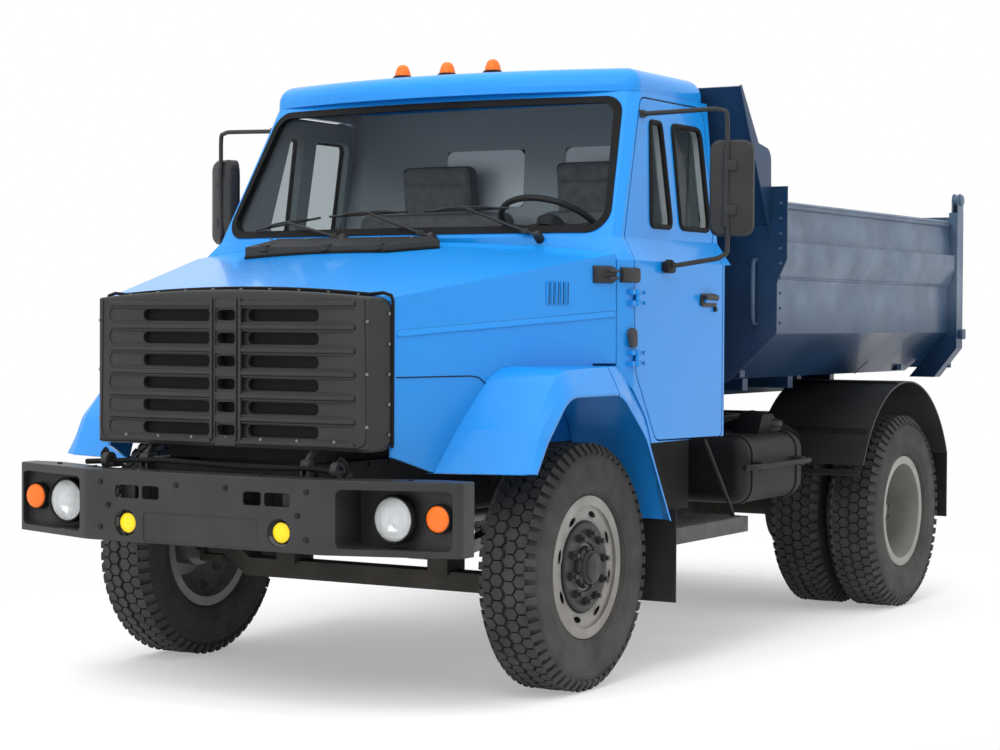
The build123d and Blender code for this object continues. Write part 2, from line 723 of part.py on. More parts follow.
# the space under the wing's skin: the same rings set in, open towards the wheel
wing_spaces = [(x - wing_skin / 2, inset_rows(rows, wing_skin)) for x, rows in wing_rings[:3]]
wing_spaces[0] = (wing_inner_x - 5, wing_spaces[0][1])
wing_spaces.append((wing_lip_x + 1, inset_rows(wing_lip, wing_skin + 4)))
with BuildPart() as wing_space:
    for (low_x, low_rows), (high_x, high_rows) in zip(wing_spaces, wing_spaces[1:]):
        loft([wing_face(low_x, low_rows), wing_face(high_x, high_rows)], ruled=True)

with BuildPart() as wing_left:
    add(wing_solid.part)
    add(wing_space.part, mode=Mode.SUBTRACT)

with BuildPart() as wing_front_half:
    add(wing_left.part)
    split(bisect_by=Plane(origin=(0, station(wing_split - panel_gap / 2), 0), z_dir=(0, 1, 0)), keep=Keep.BOTTOM)
with BuildPart() as wing_rear_half:
    add(wing_left.part)
    split(bisect_by=Plane(origin=(0, station(wing_split + panel_gap / 2), 0), z_dir=(0, 1, 0)), keep=Keep.TOP)

with BuildPart() as wings_rear:
    add(wing_rear_half.part)
    mirror(wing_rear_half.part, about=Plane.YZ)
pieces["wings_rear"] = wings_rear

# ---------------------------------------------------------------- greenhouse plan
# (height, half width, side's front corner, pillar x, pillar station, middle of the front, rear wall)
greenhouse_rows = [
    (cab_belt, cab_half_width, 300, cab_half_width - 30, 218, 208, 1258),
    (cab_shoulder, cab_half_width - 75, 322, cab_half_width - 98, 287, 184, 1270),
    (cab_eaves, cab_half_width - 155, 655, cab_half_width - 195, 612, 500, 1318),
]


def greenhouse_row(height):
    """Plan dimensions of the greenhouse at a height."""
    low, high = greenhouse_rows[:2] if height < cab_shoulder else greenhouse_rows[1:]
    share = (height - low[0]) / (high[0] - low[0])
    return [a + (b - a) * share for a, b in zip(low, high)]


def greenhouse_plan(height, inset):
    """Plan outline of the greenhouse at a height, set in by inset."""
    level, half, corner, pillar_x, pillar, middle, rear = greenhouse_row(height)
    with BuildSketch(Plane.XY.offset(height)) as plan:
        with BuildLine():
            left = [
                (half - inset, station(rear - inset)),
                (half - inset, station(corner + inset * 0.8)),
                (pillar_x - inset * 0.6, station(pillar + inset)),
            ]
            right = [(-x, y) for x, y in left]
            Polyline(*left)
            ThreePointArc(left[-1], (0, station(middle + inset)), right[-1])
            Polyline(*reversed(right))
            Line(right[0], left[0])
        make_face()
    return plan.sketch


# ---------------------------------------------------------------- hood
# (station, foot x, foot z, crease x, crease z, shoulder x, shoulder z, middle z)
hood_sections = [
    (hood_front, 700, 920, 706, 1442, 703, 1592, 1626),
    (hood_rear, cab_half_width - 31, 920, cab_half_width - 30, 1524, cab_half_width - 34, 1784, 1852),
]
hood_shoulder_radius = 48


def hood_section(row, inset, drop):
    """Closed cross-section of the hood, set in by inset, its foot lowered by drop."""
    at, foot_x, foot_z, crease_x, crease_z, shoulder_x, shoulder_z, middle_z = row
    with BuildSketch(cross_plane(at)) as section:
        with BuildLine():
            left = [
                (foot_x - inset, foot_z - drop),
                (crease_x - inset, crease_z),
                (shoulder_x - inset, shoulder_z - inset),
            ]
            right = [(-x, z) for x, z in left]
            Polyline(*left)
            ThreePointArc(left[-1], (0, middle_z - inset), right[-1])
            Polyline(*reversed(right))
            Line(right[0], left[0])
        make_face()
        shoulders = section.vertices().filter_by(lambda v: v.Z > crease_z + 60)
        fillet(shoulders, hood_shoulder_radius - inset)
    return section.sketch


def lengthened(row_a, row_b, at):
    """Section row on the straight run between two rows, at another station."""
    share = (at - row_a[0]) / (row_b[0] - row_a[0])
    return [a + (b - a) * share for a, b in zip(row_a, row_b)]


with BuildPart() as hood_solid:
    loft([hood_section(row, 0, 0) for row in hood_sections], ruled=True)

with BuildPart() as hood_shell:
    add(hood_solid.part)
    loft(
        [hood_section(lengthened(*hood_sections, at), hood_skin, 5) for at in (hood_front - 5, hood_rear + 5)],
        ruled=True, mode=Mode.SUBTRACT,
    )
    for side in (-1, 1):
        extrude(side_outline(side * 700 if side > 0 else -1200, [
            (-676, 900, 0), (-676, 921, 0), (-424, 1316, 150), (wing_split, 1316, 0), (wing_split, 1331, 0),
            (400, 1331, 0), (400, 900, 0),
        ]), amount=500, mode=Mode.SUBTRACT)
    # the valance under the front of the side rises forwards
    for side in (-1, 1):
        extrude(side_outline(side * 600 if side > 0 else -1100, [
            (-900, 900, 0), (-900, 985, 0), (-870, 979, 0), (-690, 916, 0), (-690, 900, 0),
        ]), amount=500, mode=Mode.SUBTRACT)
    loft([greenhouse_plan(cab_shoulder - 25, -32), greenhouse_plan(cab_eaves, -32)], ruled=True, mode=Mode.SUBTRACT)
    extrude(greenhouse_plan(cab_shoulder - 25, -32), amount=-150, mode=Mode.SUBTRACT)
pieces["hood_shell"] = hood_shell

with BuildPart() as wings_front:
    add(wing_front_half.part)
    mirror(wing_front_half.part, about=Plane.YZ)
    add(hood_shell.part, mode=Mode.SUBTRACT)
    loft(
        [hood_section(lengthened(*hood_sections, at), 0.2, 5) for at in (hood_front - 5, hood_rear + 5)],
        ruled=True, mode=Mode.SUBTRACT,
    )
pieces["wings_front"] = wings_front

# ---------------------------------------------------------------- grille
grille_half_width = 700
grille_face_half = 662
grille_bottom = 1004
grille_shoulder = 1588
grille_middle = 1622
grille_front = -1005
grille_face_end = -987
slot_top = 1522
slot_pitch = 90
slot_rows = 6
slot_height = 46

with BuildPart() as grille:
    with BuildSketch(Plane.XY.offset(grille_bottom - 5)) as grille_plan:
        with BuildLine():
            grille_left = [
                (grille_half_width, station(hood_front - seat_gap)), (grille_face_half, station(grille_face_end)),
            ]
            grille_right = [(-x, y) for x, y in grille_left]
            Polyline(*grille_left)
            ThreePointArc(grille_left[-1], (0, station(grille_front)), grille_right[-1])
            Polyline(*reversed(grille_right))
            Line(grille_right[0], grille_left[0])
        make_face()
    extrude(grille_plan.sketch, amount=grille_middle - grille_bottom + 20)
    with BuildSketch(cross_plane(grille_front - 5)) as grille_outline:
        with BuildLine():
            left = [(grille_half_width, grille_bottom), (grille_half_width, grille_shoulder)]
            right = [(-x, z) for x, z in left]
            Polyline(*left)
            ThreePointArc(left[-1], (0, grille_middle), right[-1])
            Polyline(*reversed(right))
            Line(right[0], left[0])
        make_face()
        fillet(grille_outline.vertices(), 55)
    extrude(grille_outline.sketch, amount=-(hood_front - grille_front + 10), mode=Mode.INTERSECT)
    fillet(grille.faces().sort_by(Axis.Y)[0].edges(), 16)
    # the back is hollow behind the face
    with BuildSketch(cross_plane(grille_front + 42)) as hollow:
        with Locations((0, (grille_bottom + grille_shoulder) / 2)):
            RectangleRounded(2 * (grille_half_width - 40), grille_shoulder - grille_bottom - 30, 40)
    extrude(hollow.sketch, amount=-120, mode=Mode.SUBTRACT)
    with BuildSketch(cross_plane(grille_front - 1)) as slots:
        for row in range(slot_rows):
            height = slot_top - slot_pitch * row
            with Locations((-262, height), (262, height)):
                RectangleRounded(336, slot_height, 20)
            with Locations((0, height)):
                RectangleRounded(88, slot_height - 4, 14)
    extrude(slots.sketch, amount=-60, mode=Mode.SUBTRACT)
    with BuildSketch(cross_plane(grille_front - 1)) as recesses:
        for row in range(slot_rows):
            height = slot_top - slot_pitch * row
            with Locations((-333, height), (333, height)):
                RectangleRounded(542, slot_height + 10, 24)
    extrude(recesses.sketch, amount=-20, mode=Mode.SUBTRACT)
    # lugs of the hood's hinges
    for side in (-1, 1):
        with BuildSketch(side_plane(side * hood_hinge_x - 9)) as hinge_lug:
            with Locations((station(hood_hinge_station), hood_hinge_height)):
                Circle(20)
            Polygon(
                (station(hood_hinge_station - 18), hood_hinge_height + 8),
                (station(hood_hinge_station + 16), hood_hinge_height + 6),
                (station(hood_hinge_station + 66), grille_bottom + 8), (station(hood_hinge_station + 36), grille_bottom + 8),
                align=None,
            )
        extrude(hinge_lug.sketch, amount=18)
        rod((side * hood_hinge_x - 20, hood_hinge_station, hood_hinge_height),
            (side * hood_hinge_x + 20, hood_hinge_station, hood_hinge_height), 12)
pieces["grille"] = grille

# ---------------------------------------------------------------- air scoop on the hood
scoop_front = -90
scoop_rear = 148
with BuildPart() as air_scoop:
    with BuildSketch(Plane.XY.offset(1720)) as scoop_plan:
        Polygon(
            (-600, station(scoop_front)), (145, station(scoop_front)), (335, station(30)), (215, station(scoop_rear)),
            (-590, station(scoop_rear)),
            align=None,
        )
    extrude(scoop_plan.sketch, amount=180)
    with BuildSketch(side_plane(-610)) as scoop_slope:
        Polygon(
            (station(scoop_front - 1), 1822), (station(scoop_front - 1), 1910), (station(scoop_rear + 1), 1910),
            (station(scoop_rear + 1), 1868),
            align=None,
        )
    extrude(scoop_slope.sketch, amount=1000, mode=Mode.SUBTRACT)
    add(hood_solid.part, mode=Mode.SUBTRACT)
pieces["air_scoop"] = air_scoop

# ---------------------------------------------------------------- cab
def screen_station(x, height):
    """Station of the curved front at a place across and up it."""
    level, half, corner, pillar_x, pillar, middle, rear = greenhouse_row(height)
    sagitta = pillar - middle
    radius = (pillar_x ** 2 + sagitta ** 2) / (2 * sagitta)
    return middle + radius - (radius ** 2 - x ** 2) ** 0.5


def greenhouse_solid(inset, low, high, mode=Mode.ADD):
    """Greenhouse body between two heights, set in by inset."""
    levels = [low, cab_shoulder, high] if low < cab_shoulder else [low, high]
    for level, above in zip(levels, levels[1:]):
        loft([greenhouse_plan(level, inset), greenhouse_plan(above, inset)], ruled=True, mode=mode)


def lower_cab_solid(inset, low, high, mode=Mode.ADD):
    """Cab body below the belt between two heights, set in by inset, its rear corners rounded."""
    rear = greenhouse_rows[0][6] - inset
    left = [
        (cab_half_width - 31 - inset, station(hood_rear + panel_gap + inset)), (cab_half_width - inset, station(300 + inset)),
        (cab_half_width - inset, station(rear)),
    ]
    with BuildSketch(Plane.XY.offset(low)) as plan:
        Polygon(*left, *[(-x, y) for x, y in reversed(left)], align=None)
        fillet(plan.vertices().filter_by(lambda v: abs(v.Y - station(rear)) < 1), 84 - inset)
    extrude(plan.sketch, amount=high - low, mode=mode)


# (station, height, radius) of the door's outline and its windows
door_outline = [
    (306, 1750, 40), (318, 1300, 150), (512, 1003, 60), (1168, 992, 30), (1168, 1790, 60), (1238, 1905, 200),
    (1268, 2470, 60), (648, 2470, 50),
]
quarter_window = [(612, 1915, 30), (812, 1915, 30), (812, 2372, 22), (712, 2372, 22)]
main_window = [(902, 1915, 40), (1200, 1915, 40), (1208, 2372, 40), (922, 2372, 30)]
door_depth = 48
door_gap = 7
door_pin_x = cab_half_width + 13
door_pin_station = 309
door_pin = 6
door_knuckle = 11
door_hinge_heights = [1352, 1604]
hinge_half = 34


def upright_rod(low, high, radius, mode=Mode.ADD):
    """Round bar on the left door's hinge line between two heights."""
    rod((door_pin_x, door_pin_station, low), (door_pin_x, door_pin_station, high), radius, mode)


def door_prism(corners, grow, start_x, end_x):
    """Side outline grown by an amount and extruded between two x values."""
    shape = side_outline(start_x, corners)
    if grow:
        shape = offset(shape, amount=grow, mode=Mode.PRIVATE)
    return extrude(shape, amount=end_x - start_x, mode=Mode.PRIVATE)


screen_half_low = 1006
screen_half_high = 912
screen_low = 1878
screen_high = 2478
screen_outline = [
    (-screen_half_low, screen_low, 90), (screen_half_low, screen_low, 90),
    (screen_half_high, screen_high, 90), (-screen_half_high, screen_high, 90),
]
rear_windows_rows = [(-395, 40, 2050, 2322), (262, 697, 2050, 2322)]

with BuildPart() as arch_box:
    extrude(side_outline(wing_inner_x - 4, [
        (hood_rear - 300, 900, 0), (hood_rear - 300, 1338 + seat_gap, 0), (178 + seat_gap, 1338 + seat_gap, 130),
        (424 + seat_gap, 1095 + seat_gap, 300), (618 + seat_gap, 655, 0), (618 + seat_gap, 500, 0), (0, 500, 0),
    ]), amount=500)

with BuildPart() as arch_wall:
    extrude(side_outline(wing_inner_x - 34, [
        (hood_rear - 300, 900, 0), (hood_rear - 300, 1370, 0), (192, 1370, 130), (449, 1113, 300), (648, 663, 0),
        (648, 500, 0), (0, 500, 0),
    ]), amount=500)

with BuildPart() as cabin_space:
    lower_cab_solid(cab_wall, cab_floor + floor_sheet, cab_belt)
    greenhouse_solid(cab_wall, cab_belt, cab_eaves + 1)
    add(arch_wall.part, mode=Mode.SUBTRACT)
    mirror(arch_wall.part, about=Plane.YZ, mode=Mode.SUBTRACT)

# outer halves and pins of the left door's hinges, carried by the cab
with BuildPart() as hinge_pins:
    for middle in door_hinge_heights:
        for low in (middle - hinge_half, middle + 12.3):
            upright_rod(low, low + hinge_half - 12.3, door_knuckle)
            block((cab_half_width - 9, door_pin_station - 40, low), (door_pin_x, door_pin_station - 8, low + hinge_half - 12.3))
        upright_rod(middle - hinge_half, middle + hinge_half, door_pin)

with BuildPart() as cab_shell:
    lower_cab_solid(0, cab_floor, cab_belt)
    greenhouse_solid(0, cab_belt, cab_eaves)
    add(cabin_space.part, mode=Mode.SUBTRACT)
    add(arch_box.part, mode=Mode.SUBTRACT)
    mirror(arch_box.part, about=Plane.YZ, mode=Mode.SUBTRACT)
    add(door_prism(door_outline, door_gap, 900, 1250), mode=Mode.SUBTRACT)
    mirror(door_prism(door_outline, door_gap, 900, 1250), about=Plane.YZ, mode=Mode.SUBTRACT)
    extrude(outline(cross_plane(0), screen_outline), amount=-750, mode=Mode.SUBTRACT)
    for low_x, high_x, low_z, high_z in rear_windows_rows:
        block((low_x, 1150, low_z), (high_x, 1400, high_z), mode=Mode.SUBTRACT)
    add(hinge_pins.part)
    mirror(hinge_pins.part, about=Plane.YZ)
pieces["cab_shell"] = cab_shell

with BuildPart() as cab_roof:
    with BuildSketch(Plane.XY.offset(cab_eaves)) as roof_plan:
        with BuildLine():
            left = [(cab_half_width - 162, station(1316)), (cab_half_width - 160, station(628))]
            right = [(-x, y) for x, y in left]
            Polyline(*left)
            ThreePointArc(left[-1], (0, station(452)), right[-1])
            Polyline(*reversed(right))
            Line(right[0], left[0])
        make_face()
        fillet(roof_plan.vertices(), 60)
    extrude(roof_plan.sketch, amount=roof_rise)
    fillet(cab_roof.faces().sort_by(Axis.Z)[-1].edges(), 78)
    with BuildSketch(Plane.XY.offset(cab_eaves - 1)) as roof_hollow:
        with Locations((0, station(950))):
            RectangleRounded(1780, 620, 60)
    extrude(roof_hollow.sketch, amount=roof_rise - 34, mode=Mode.SUBTRACT)
pieces["cab_roof"] = cab_roof

with BuildPart() as windscreen:
    greenhouse_solid(14, cab_shoulder, cab_eaves - 2)
    greenhouse_solid(14 + glass, cab_shoulder, cab_eaves - 2, mode=Mode.SUBTRACT)
    extrude(outline(cross_plane(0), [
        (-screen_half_low + 30, screen_low + 30, 65), (screen_half_low - 30, screen_low + 30, 65),
        (screen_half_high - 30, screen_high - 30, 65), (-screen_half_high + 30, screen_high - 30, 65),
    ]), amount=-750, mode=Mode.INTERSECT)

with BuildPart() as screen_seal:
    greenhouse_solid(-6, cab_shoulder, cab_eaves - 2)
    greenhouse_solid(34, cab_shoulder, cab_eaves - 2, mode=Mode.SUBTRACT)
    extrude(outline(cross_plane(0), screen_outline), amount=-750, mode=Mode.INTERSECT)
    extrude(outline(cross_plane(0), [
        (-screen_half_low + 30, screen_low + 30, 65), (screen_half_low - 30, screen_low + 30, 65),
        (screen_half_high - 30, screen_high - 30, 65), (-screen_half_high + 30, screen_high - 30, 65),
    ]), amount=-750, mode=Mode.SUBTRACT)
pieces["screen_seal"] = screen_seal

with BuildPart() as cab_glass:
    add(windscreen.part)
    for low_x, high_x, low_z, high_z in rear_windows_rows:
        block((low_x, 1262, low_z), (high_x, 1262 + glass, high_z))
pieces["cab_glass"] = cab_glass


def side_band(outer_inset, inner_inset):
    """Layer of the cab's left side between two depths under its skin."""
    profile = [(cab_half_width, cab_floor - 20)] + [(row[1], row[0]) for row in greenhouse_rows]
    outer = [(x - outer_inset, z) for x, z in profile]
    inner = [(x - inner_inset, z) for x, z in reversed(profile)]
    band = outline(cross_plane(0), [(x, z, 0) for x, z in outer + inner])
    return extrude(band, amount=-1500, mode=Mode.PRIVATE)


door_skin = 18
door_step = 12
with BuildPart() as door_left:
    add(side_band(0, door_skin) & door_prism(door_outline, 0, 800, 1250))
    add(side_band(door_skin, door_depth) & door_prism(door_outline, -door_step, 800, 1250))
    for window in (quarter_window, main_window):
        add(door_prism(window, 0, 800, 1250), mode=Mode.SUBTRACT)
    for middle in door_hinge_heights:
        block((cab_half_width - 9, door_pin_station + 10, middle - 12), (door_pin_x, door_pin_station + 44, middle + 12))
        block((cab_half_width + seat_gap, door_pin_station, middle - 12), (door_pin_x, door_pin_station + 20, middle + 12))
        upright_rod(middle - 12, middle + 12, door_knuckle)
        upright_rod(middle - 13, middle + 13, door_pin + seat_gap, mode=Mode.SUBTRACT)
    with Locations((cab_half_width + 14, station(1010), 1600)):
        Box(16, 110, 24)
    with Locations((cab_half_width + 4, station(965), 1600), (cab_half_width + 4, station(1055), 1600)):
        Box(10, 16, 20)
door_right = mirrored(door_left)
pieces["door_left"] = door_left
pieces["door_right"] = door_right

with BuildPart() as door_glass_left:
    for window in (quarter_window, main_window):
        add(side_band(door_depth - glass - 2, door_depth - 2) & door_prism(window, 0, 800, 1250))
door_glass_right = mirrored(door_glass_left)
pieces["door_glass_left"] = door_glass_left
pieces["door_glass_right"] = door_glass_right

mirror_x = 1358
mirror_station = 715
mirror_height = 2076
with BuildPart() as mirror_left:
    bent_tube([
        (greenhouse_row(2400)[1] + 3, 640, 2400), (1340, 700, 2408), (1352, 712, 1790), (cab_half_width + 6, 590, 1738),
    ], 10, 60)
    block((cab_half_width + seat_gap, 560, 1715), (cab_half_width + 14, 615, 1757))
    with Locations(Plane(origin=(mirror_x, station(mirror_station + 30), mirror_height), x_dir=(0.917, 0.399, 0), z_dir=(0, 0, 1))):
        Box(190, 56, 410)
    fillet(mirror_left.edges().filter_by(lambda e: e.length > 200 and abs(e.length - 410) < 5), 22)
mirror_right = mirrored(mirror_left)
pieces["mirror_left"] = mirror_left
pieces["mirror_right"] = mirror_right

with BuildPart() as roof_lamps:
    for lamp_x in (-240, 0, 240):
        with Locations((lamp_x, station(620), cab_eaves + roof_rise + 9)):
            Cylinder(46, 18)
        with Locations((lamp_x, station(620), cab_eaves + roof_rise + 18 + 24)):
            Cone(34, 26, 48)
pieces["roof_lamps"] = roof_lamps

wiper_height = 1866
with BuildPart() as wipers:
    for pivot_x, low_end, high_end in (
        (-256, (-800, 1914), (-430, 1962)), (207, (-376, 1966), (40, 1980)), (708, (129, 1980), (535, 1988)),
    ):
        ends = [(x, screen_station(x, z) - 23, z) for x, z in (low_end, high_end)]
        middle = [(a + b) / 2 for a, b in zip(*ends)]
        bend = (pivot_x, screen_station(pivot_x, wiper_height) - 25, wiper_height)
        rod((pivot_x, bend[1] + 29, wiper_height), bend, 8)
        rod(bend, middle, 6)
        rod(*ends, 8)
    add(cab_shell.part, mode=Mode.SUBTRACT)
pieces["wipers"] = wipers

with BuildPart() as dashboard:
    block((-1035, hood_rear + panel_gap + cab_wall + seat_gap, 1500), (1035, 560, cab_belt - 5))
pieces["dashboard"] = dashboard

with BuildPart() as seats:
    for seat_x, half in ((500, 260), (-350, 420)):
        block((seat_x - half, 660, cab_floor + floor_sheet + seat_gap), (seat_x + half, 1150, 1420))
        block((seat_x - half, 1050, 1420), (seat_x + half, 1200, 2020))
        block((seat_x - 150, 1080, 2020), (seat_x + 150, 1180, 2250))
pieces["seats"] = seats

with BuildPart() as steering_wheel:
    wheel_plane = Plane(origin=(500, station(690), 1930), z_dir=(0, 0.5, 0.86))
    with Locations(wheel_plane):
        Torus(225, 15)
        Cylinder(55, 30)
        Box(440, 26, 14)
    rod((500, 690, 1930), (500, 540, 1672), 25)
    split(bisect_by=Plane(origin=(0, station(560 + seat_gap), 0), z_dir=(0, 1, 0)), keep=Keep.TOP)
pieces["steering_wheel"] = steering_wheel

# ---------------------------------------------------------------- hoist places as (station, height)
hoist_foot = (2590, 715)
hoist_eye = (2700, bed_floor - 68)
hoist_eye_half = 45

# ---------------------------------------------------------------- bed
rib_x = 1200
# half cross-section of the bed's side from its sill up: (x, z)
side_profile = [(905, bed_floor), (1150, bed_floor + 210), (1150, bed_floor + 450), (1196, bed_floor + 560), (1196, bed_floor + 640), (1165, bed_floor + 642), (1150, bed_floor + 800)]

with BuildPart() as bed_tub:
    outer = [(880, bed_floor - bed_sheet)] + [(905, bed_floor - bed_sheet)] + side_profile[1:]
    for side in (-1, 1):
        with BuildSketch(cross_plane(bed_front)) as wall:
            Polygon(
                *[(side * x, z) for x, z in outer + [(outer[-1][0] - bed_sheet, outer[-1][1])]
                  + [(x - bed_sheet, z) for x, z in reversed(side_profile[1:-1])] + [(900, bed_floor), (880, bed_floor)]],
                align=None,
            )
        extrude(wall.sketch, amount=-(bed_rear - 60 - bed_front))
    block((-880, bed_front, bed_floor - bed_sheet), (880, bed_rear - 60, bed_floor))
    for side in (-1, 1):
        rod((side * 1152, bed_front, bed_top + 6), (side * 1152, bed_rear - 60, bed_top + 6), 18)
pieces["bed_tub"] = bed_tub

with BuildPart() as bed_beams:
    for side in (-1, 1):
        start = side * rail_half_gap if side > 0 else -rail_web
        block((start, bed_front, bed_floor - bed_sheet - bed_beam), (start + rail_flange, bed_rear - 60, bed_floor - bed_sheet))
        lug_centre = side * (rail_half_gap + rail_flange / 2)
        for ear in (-1, 1):
            ear_x = lug_centre + ear * (lug_width / 2 + 13) - 8
            with BuildSketch(side_plane(ear_x)) as lug:
                with Locations((station(tip_pivot_station), tip_pivot_height)):
                    Circle(36)
                with Locations((station(tip_pivot_station), tip_pivot_height + 56)):
                    Rectangle(72, 112)
            extrude(lug.sketch, amount=16)
        rod((lug_centre - 29, tip_pivot_station, tip_pivot_height), (lug_centre + 29, tip_pivot_station, tip_pivot_height),
            hinge_pin / 2 - 0.1)
    for cross, half in ((1900, 890), (2450, 890), (3270, 590), (3740, 590)):
        block((-half, cross, bed_floor - bed_sheet - 60), (half, cross + 60, bed_floor - bed_sheet))
    for ear in (-1, 1):
        block((ear * (hoist_eye_half + 12) - 10, hoist_eye[0] - 40, hoist_eye[1] - 40),
              (ear * (hoist_eye_half + 12) + 10, hoist_eye[0] + 40, bed_floor - bed_sheet))
pieces["bed_beams"] = bed_beams

# front wall with the canopy that leans over the cab's rear
with BuildPart() as bed_front_wall:
    extrude(outline(cross_plane(bed_front - bed_sheet), [
        (905, bed_floor - 25, 0), (1156, bed_floor + 210, 0), (1156, bed_floor + 450, 0), (1206, bed_floor + 560, 0), (1206, bed_floor + 900, 0), (-1206, bed_floor + 900, 0),
        (-1206, bed_floor + 560, 0), (-1156, bed_floor + 450, 0), (-1156, bed_floor + 210, 0), (-905, bed_floor - 25, 0),
    ]), amount=-bed_sheet)

cheek_x = 1116
with BuildPart() as bed_canopy:
    with BuildSketch(side_plane(-cheek_x)) as sheet:
        Polygon(
            (station(1340), 2576), (station(1350), 2580), (station(1690.0), 1990), (station(1690.0), 1960),
            align=None,
        )
    extrude(sheet.sketch, amount=2 * cheek_x)
    for side in (-1, 1):
        start = cheek_x if side > 0 else -cheek_x - bed_sheet
        extrude(side_outline(start, [
            (1335, 2576, 0), (1352, 2585, 0), (1545, 2333, 0), (1688, 2310, 60), (1691.5, 2150, 0), (1691.5, 1900, 0),
        ]), amount=bed_sheet)

with BuildPart() as bed_front_panel:
    add(bed_front_wall.part)
    add(bed_canopy.part)
pieces["bed_front_wall"] = bed_front_panel

gate_pin_x = 1181
gate_pin_station = bed_rear + 5
gate_pin_height = bed_floor + 950
gate_pin = 15
with BuildPart() as bed_posts:
    for side in (-1, 1):
        extrude(outline(cross_plane(bed_rear - 60), [
            (side * 1156, bed_floor + 880, 0), (side * 1206, bed_floor + 880, 0), (side * 1206, bed_floor + 122, 0), (side * 1077, bed_floor - 42, 0),
            (side * 930, bed_floor - 42, 0), (side * 1085, bed_floor + 140, 0), (side * 1085, bed_floor + 450, 0), (side * 1156, bed_floor + 560, 0),
        ]), amount=-100)
        for ear_x in (gate_pin_x - 20, gate_pin_x + 12):
            with BuildSketch(side_plane(side * (ear_x + 4) - 4)) as ear:
                with Locations((station(gate_pin_station), gate_pin_height)):
                    Circle(38)
                with Locations((station(gate_pin_station), gate_pin_height - 40)):
                    Rectangle(76, 80)
                with Locations((station(gate_pin_station), gate_pin_height)):
                    Circle(gate_pin + seat_gap, mode=Mode.SUBTRACT)
            extrude(ear.sketch, amount=8)
pieces["bed_posts"] = bed_posts

gate_front = bed_rear + 45
gate_sheet = 12
gate_rib = 18
with BuildPart() as tailgate:
    block((-1080, gate_front, bed_floor + 10), (1080, gate_front + gate_sheet, bed_floor + 860))
    for side in (-1, 1):
        block((side * 1105 - 25, gate_front, bed_floor + 10), (side * 1105 + 25, gate_front + gate_sheet + gate_rib, bed_floor + 860))
        arm_low = min(side * (gate_pin_x - 11.7), side * (gate_pin_x + 11.7))
        with BuildSketch(side_plane(arm_low)) as arm:
            with Locations((station(gate_pin_station), gate_pin_height)):
                Circle(32)
            Polygon(
                (station(gate_pin_station), gate_pin_height + 32), (station(gate_front + 30), gate_pin_height + 32),
                (station(gate_front + 30), bed_floor + 760), (station(gate_front), bed_floor + 760),
                (station(gate_front), gate_pin_height - 20), (station(gate_pin_station), gate_pin_height - 32),
                align=None,
            )
        extrude(arm.sketch, amount=23.4)
        rod((side * (gate_pin_x - 22), gate_pin_station, gate_pin_height),
            (side * (gate_pin_x + 22), gate_pin_station, gate_pin_height), gate_pin)
        block((min(side * 1130, side * (gate_pin_x + 11)), gate_front, bed_floor + 760),
              (max(side * 1130, side * (gate_pin_x + 11)), gate_front + gate_sheet + gate_rib, bed_floor + 860))
    for height in (bed_floor + 60, bed_floor + 440, bed_floor + 810):
        block((-1080, gate_front + gate_sheet, height), (1080, gate_front + gate_sheet + gate_rib, height + 50))
pieces["tailgate"] = tailgate

# ---------------------------------------------------------------- hoist
hoist_run = hypot(hoist_eye[0] - hoist_foot[0], hoist_eye[1] - hoist_foot[1])
hoist_radii = [80, 64, 50, 37]
hoist_slack = 0.3
trunnion_half = 129


def hoist_point(distance, x=0):
    """Place on the hoist's line this far from its foot, as (x, station, z)."""
    share = distance / hoist_run
    return (
        x,
        hoist_foot[0] + (hoist_eye[0] - hoist_foot[0]) * share,
        hoist_foot[1] + (hoist_eye[1] - hoist_foot[1]) * share,
    )


# (name, start, end) of each tube along the hoist's line
hoist_tubes = [
    ("hoist_barrel", -85, hoist_run - 75), ("hoist_stage_one", -70, hoist_run - 65),
    ("hoist_stage_two", -55, hoist_run - 55), ("hoist_stage_three", -40, hoist_run),
]
for number, (name, start, end) in enumerate(hoist_tubes):
    with BuildPart() as tube:
        rod(hoist_point(start), hoist_point(end), hoist_radii[number])
        if name == "hoist_barrel":
            rod((-trunnion_half, *hoist_foot), (trunnion_half, *hoist_foot), 25)
        if name == "hoist_stage_three":
            rod((-hoist_eye_half, *hoist_eye), (hoist_eye_half, *hoist_eye), 38)
            rod((-hoist_eye_half - 1, *hoist_eye), (hoist_eye_half + 1, *hoist_eye), 18, mode=Mode.SUBTRACT)
        else:
            rod(hoist_point(start + 12), hoist_point(end + 1), hoist_radii[number + 1] + hoist_slack, mode=Mode.SUBTRACT)
    pieces[name] = tube

cradle_inner = 110
cradle_low = rail_top - rail_height + rail_wall
with BuildPart() as hoist_cradle:
    for side in (-1, 1):
        block((min(side * cradle_inner, side * (cradle_inner + 20)), hoist_foot[0] - 60, hoist_foot[1] - 60),
              (max(side * cradle_inner, side * (cradle_inner + 20)), hoist_foot[0] + 60, hoist_foot[1] + 80))
        rod((side * (cradle_inner - 1), *hoist_foot), (side * (cradle_inner + 21), *hoist_foot), 25.1, mode=Mode.SUBTRACT)
        block((min(side * (cradle_inner + 20), side * (rail_web - rail_wall)), hoist_foot[0] - 60, cradle_low),
              (max(side * (cradle_inner + 20), side * (rail_web - rail_wall)), hoist_foot[0] + 60, cradle_low + 20))

with BuildPart() as whole_frame:
    for portion in (frame, subframe, spring_hangers, tank_brackets, tail_bar, hoist_cradle):
        add(portion.part)
pieces["frame"] = whole_frame

for label, piece in pieces.items():
    piece.part.label = label
    export_step(piece.part, f"parts/{label}.step")
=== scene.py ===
import json
import math

import bmesh
import bpy
from mathutils import Matrix, Vector


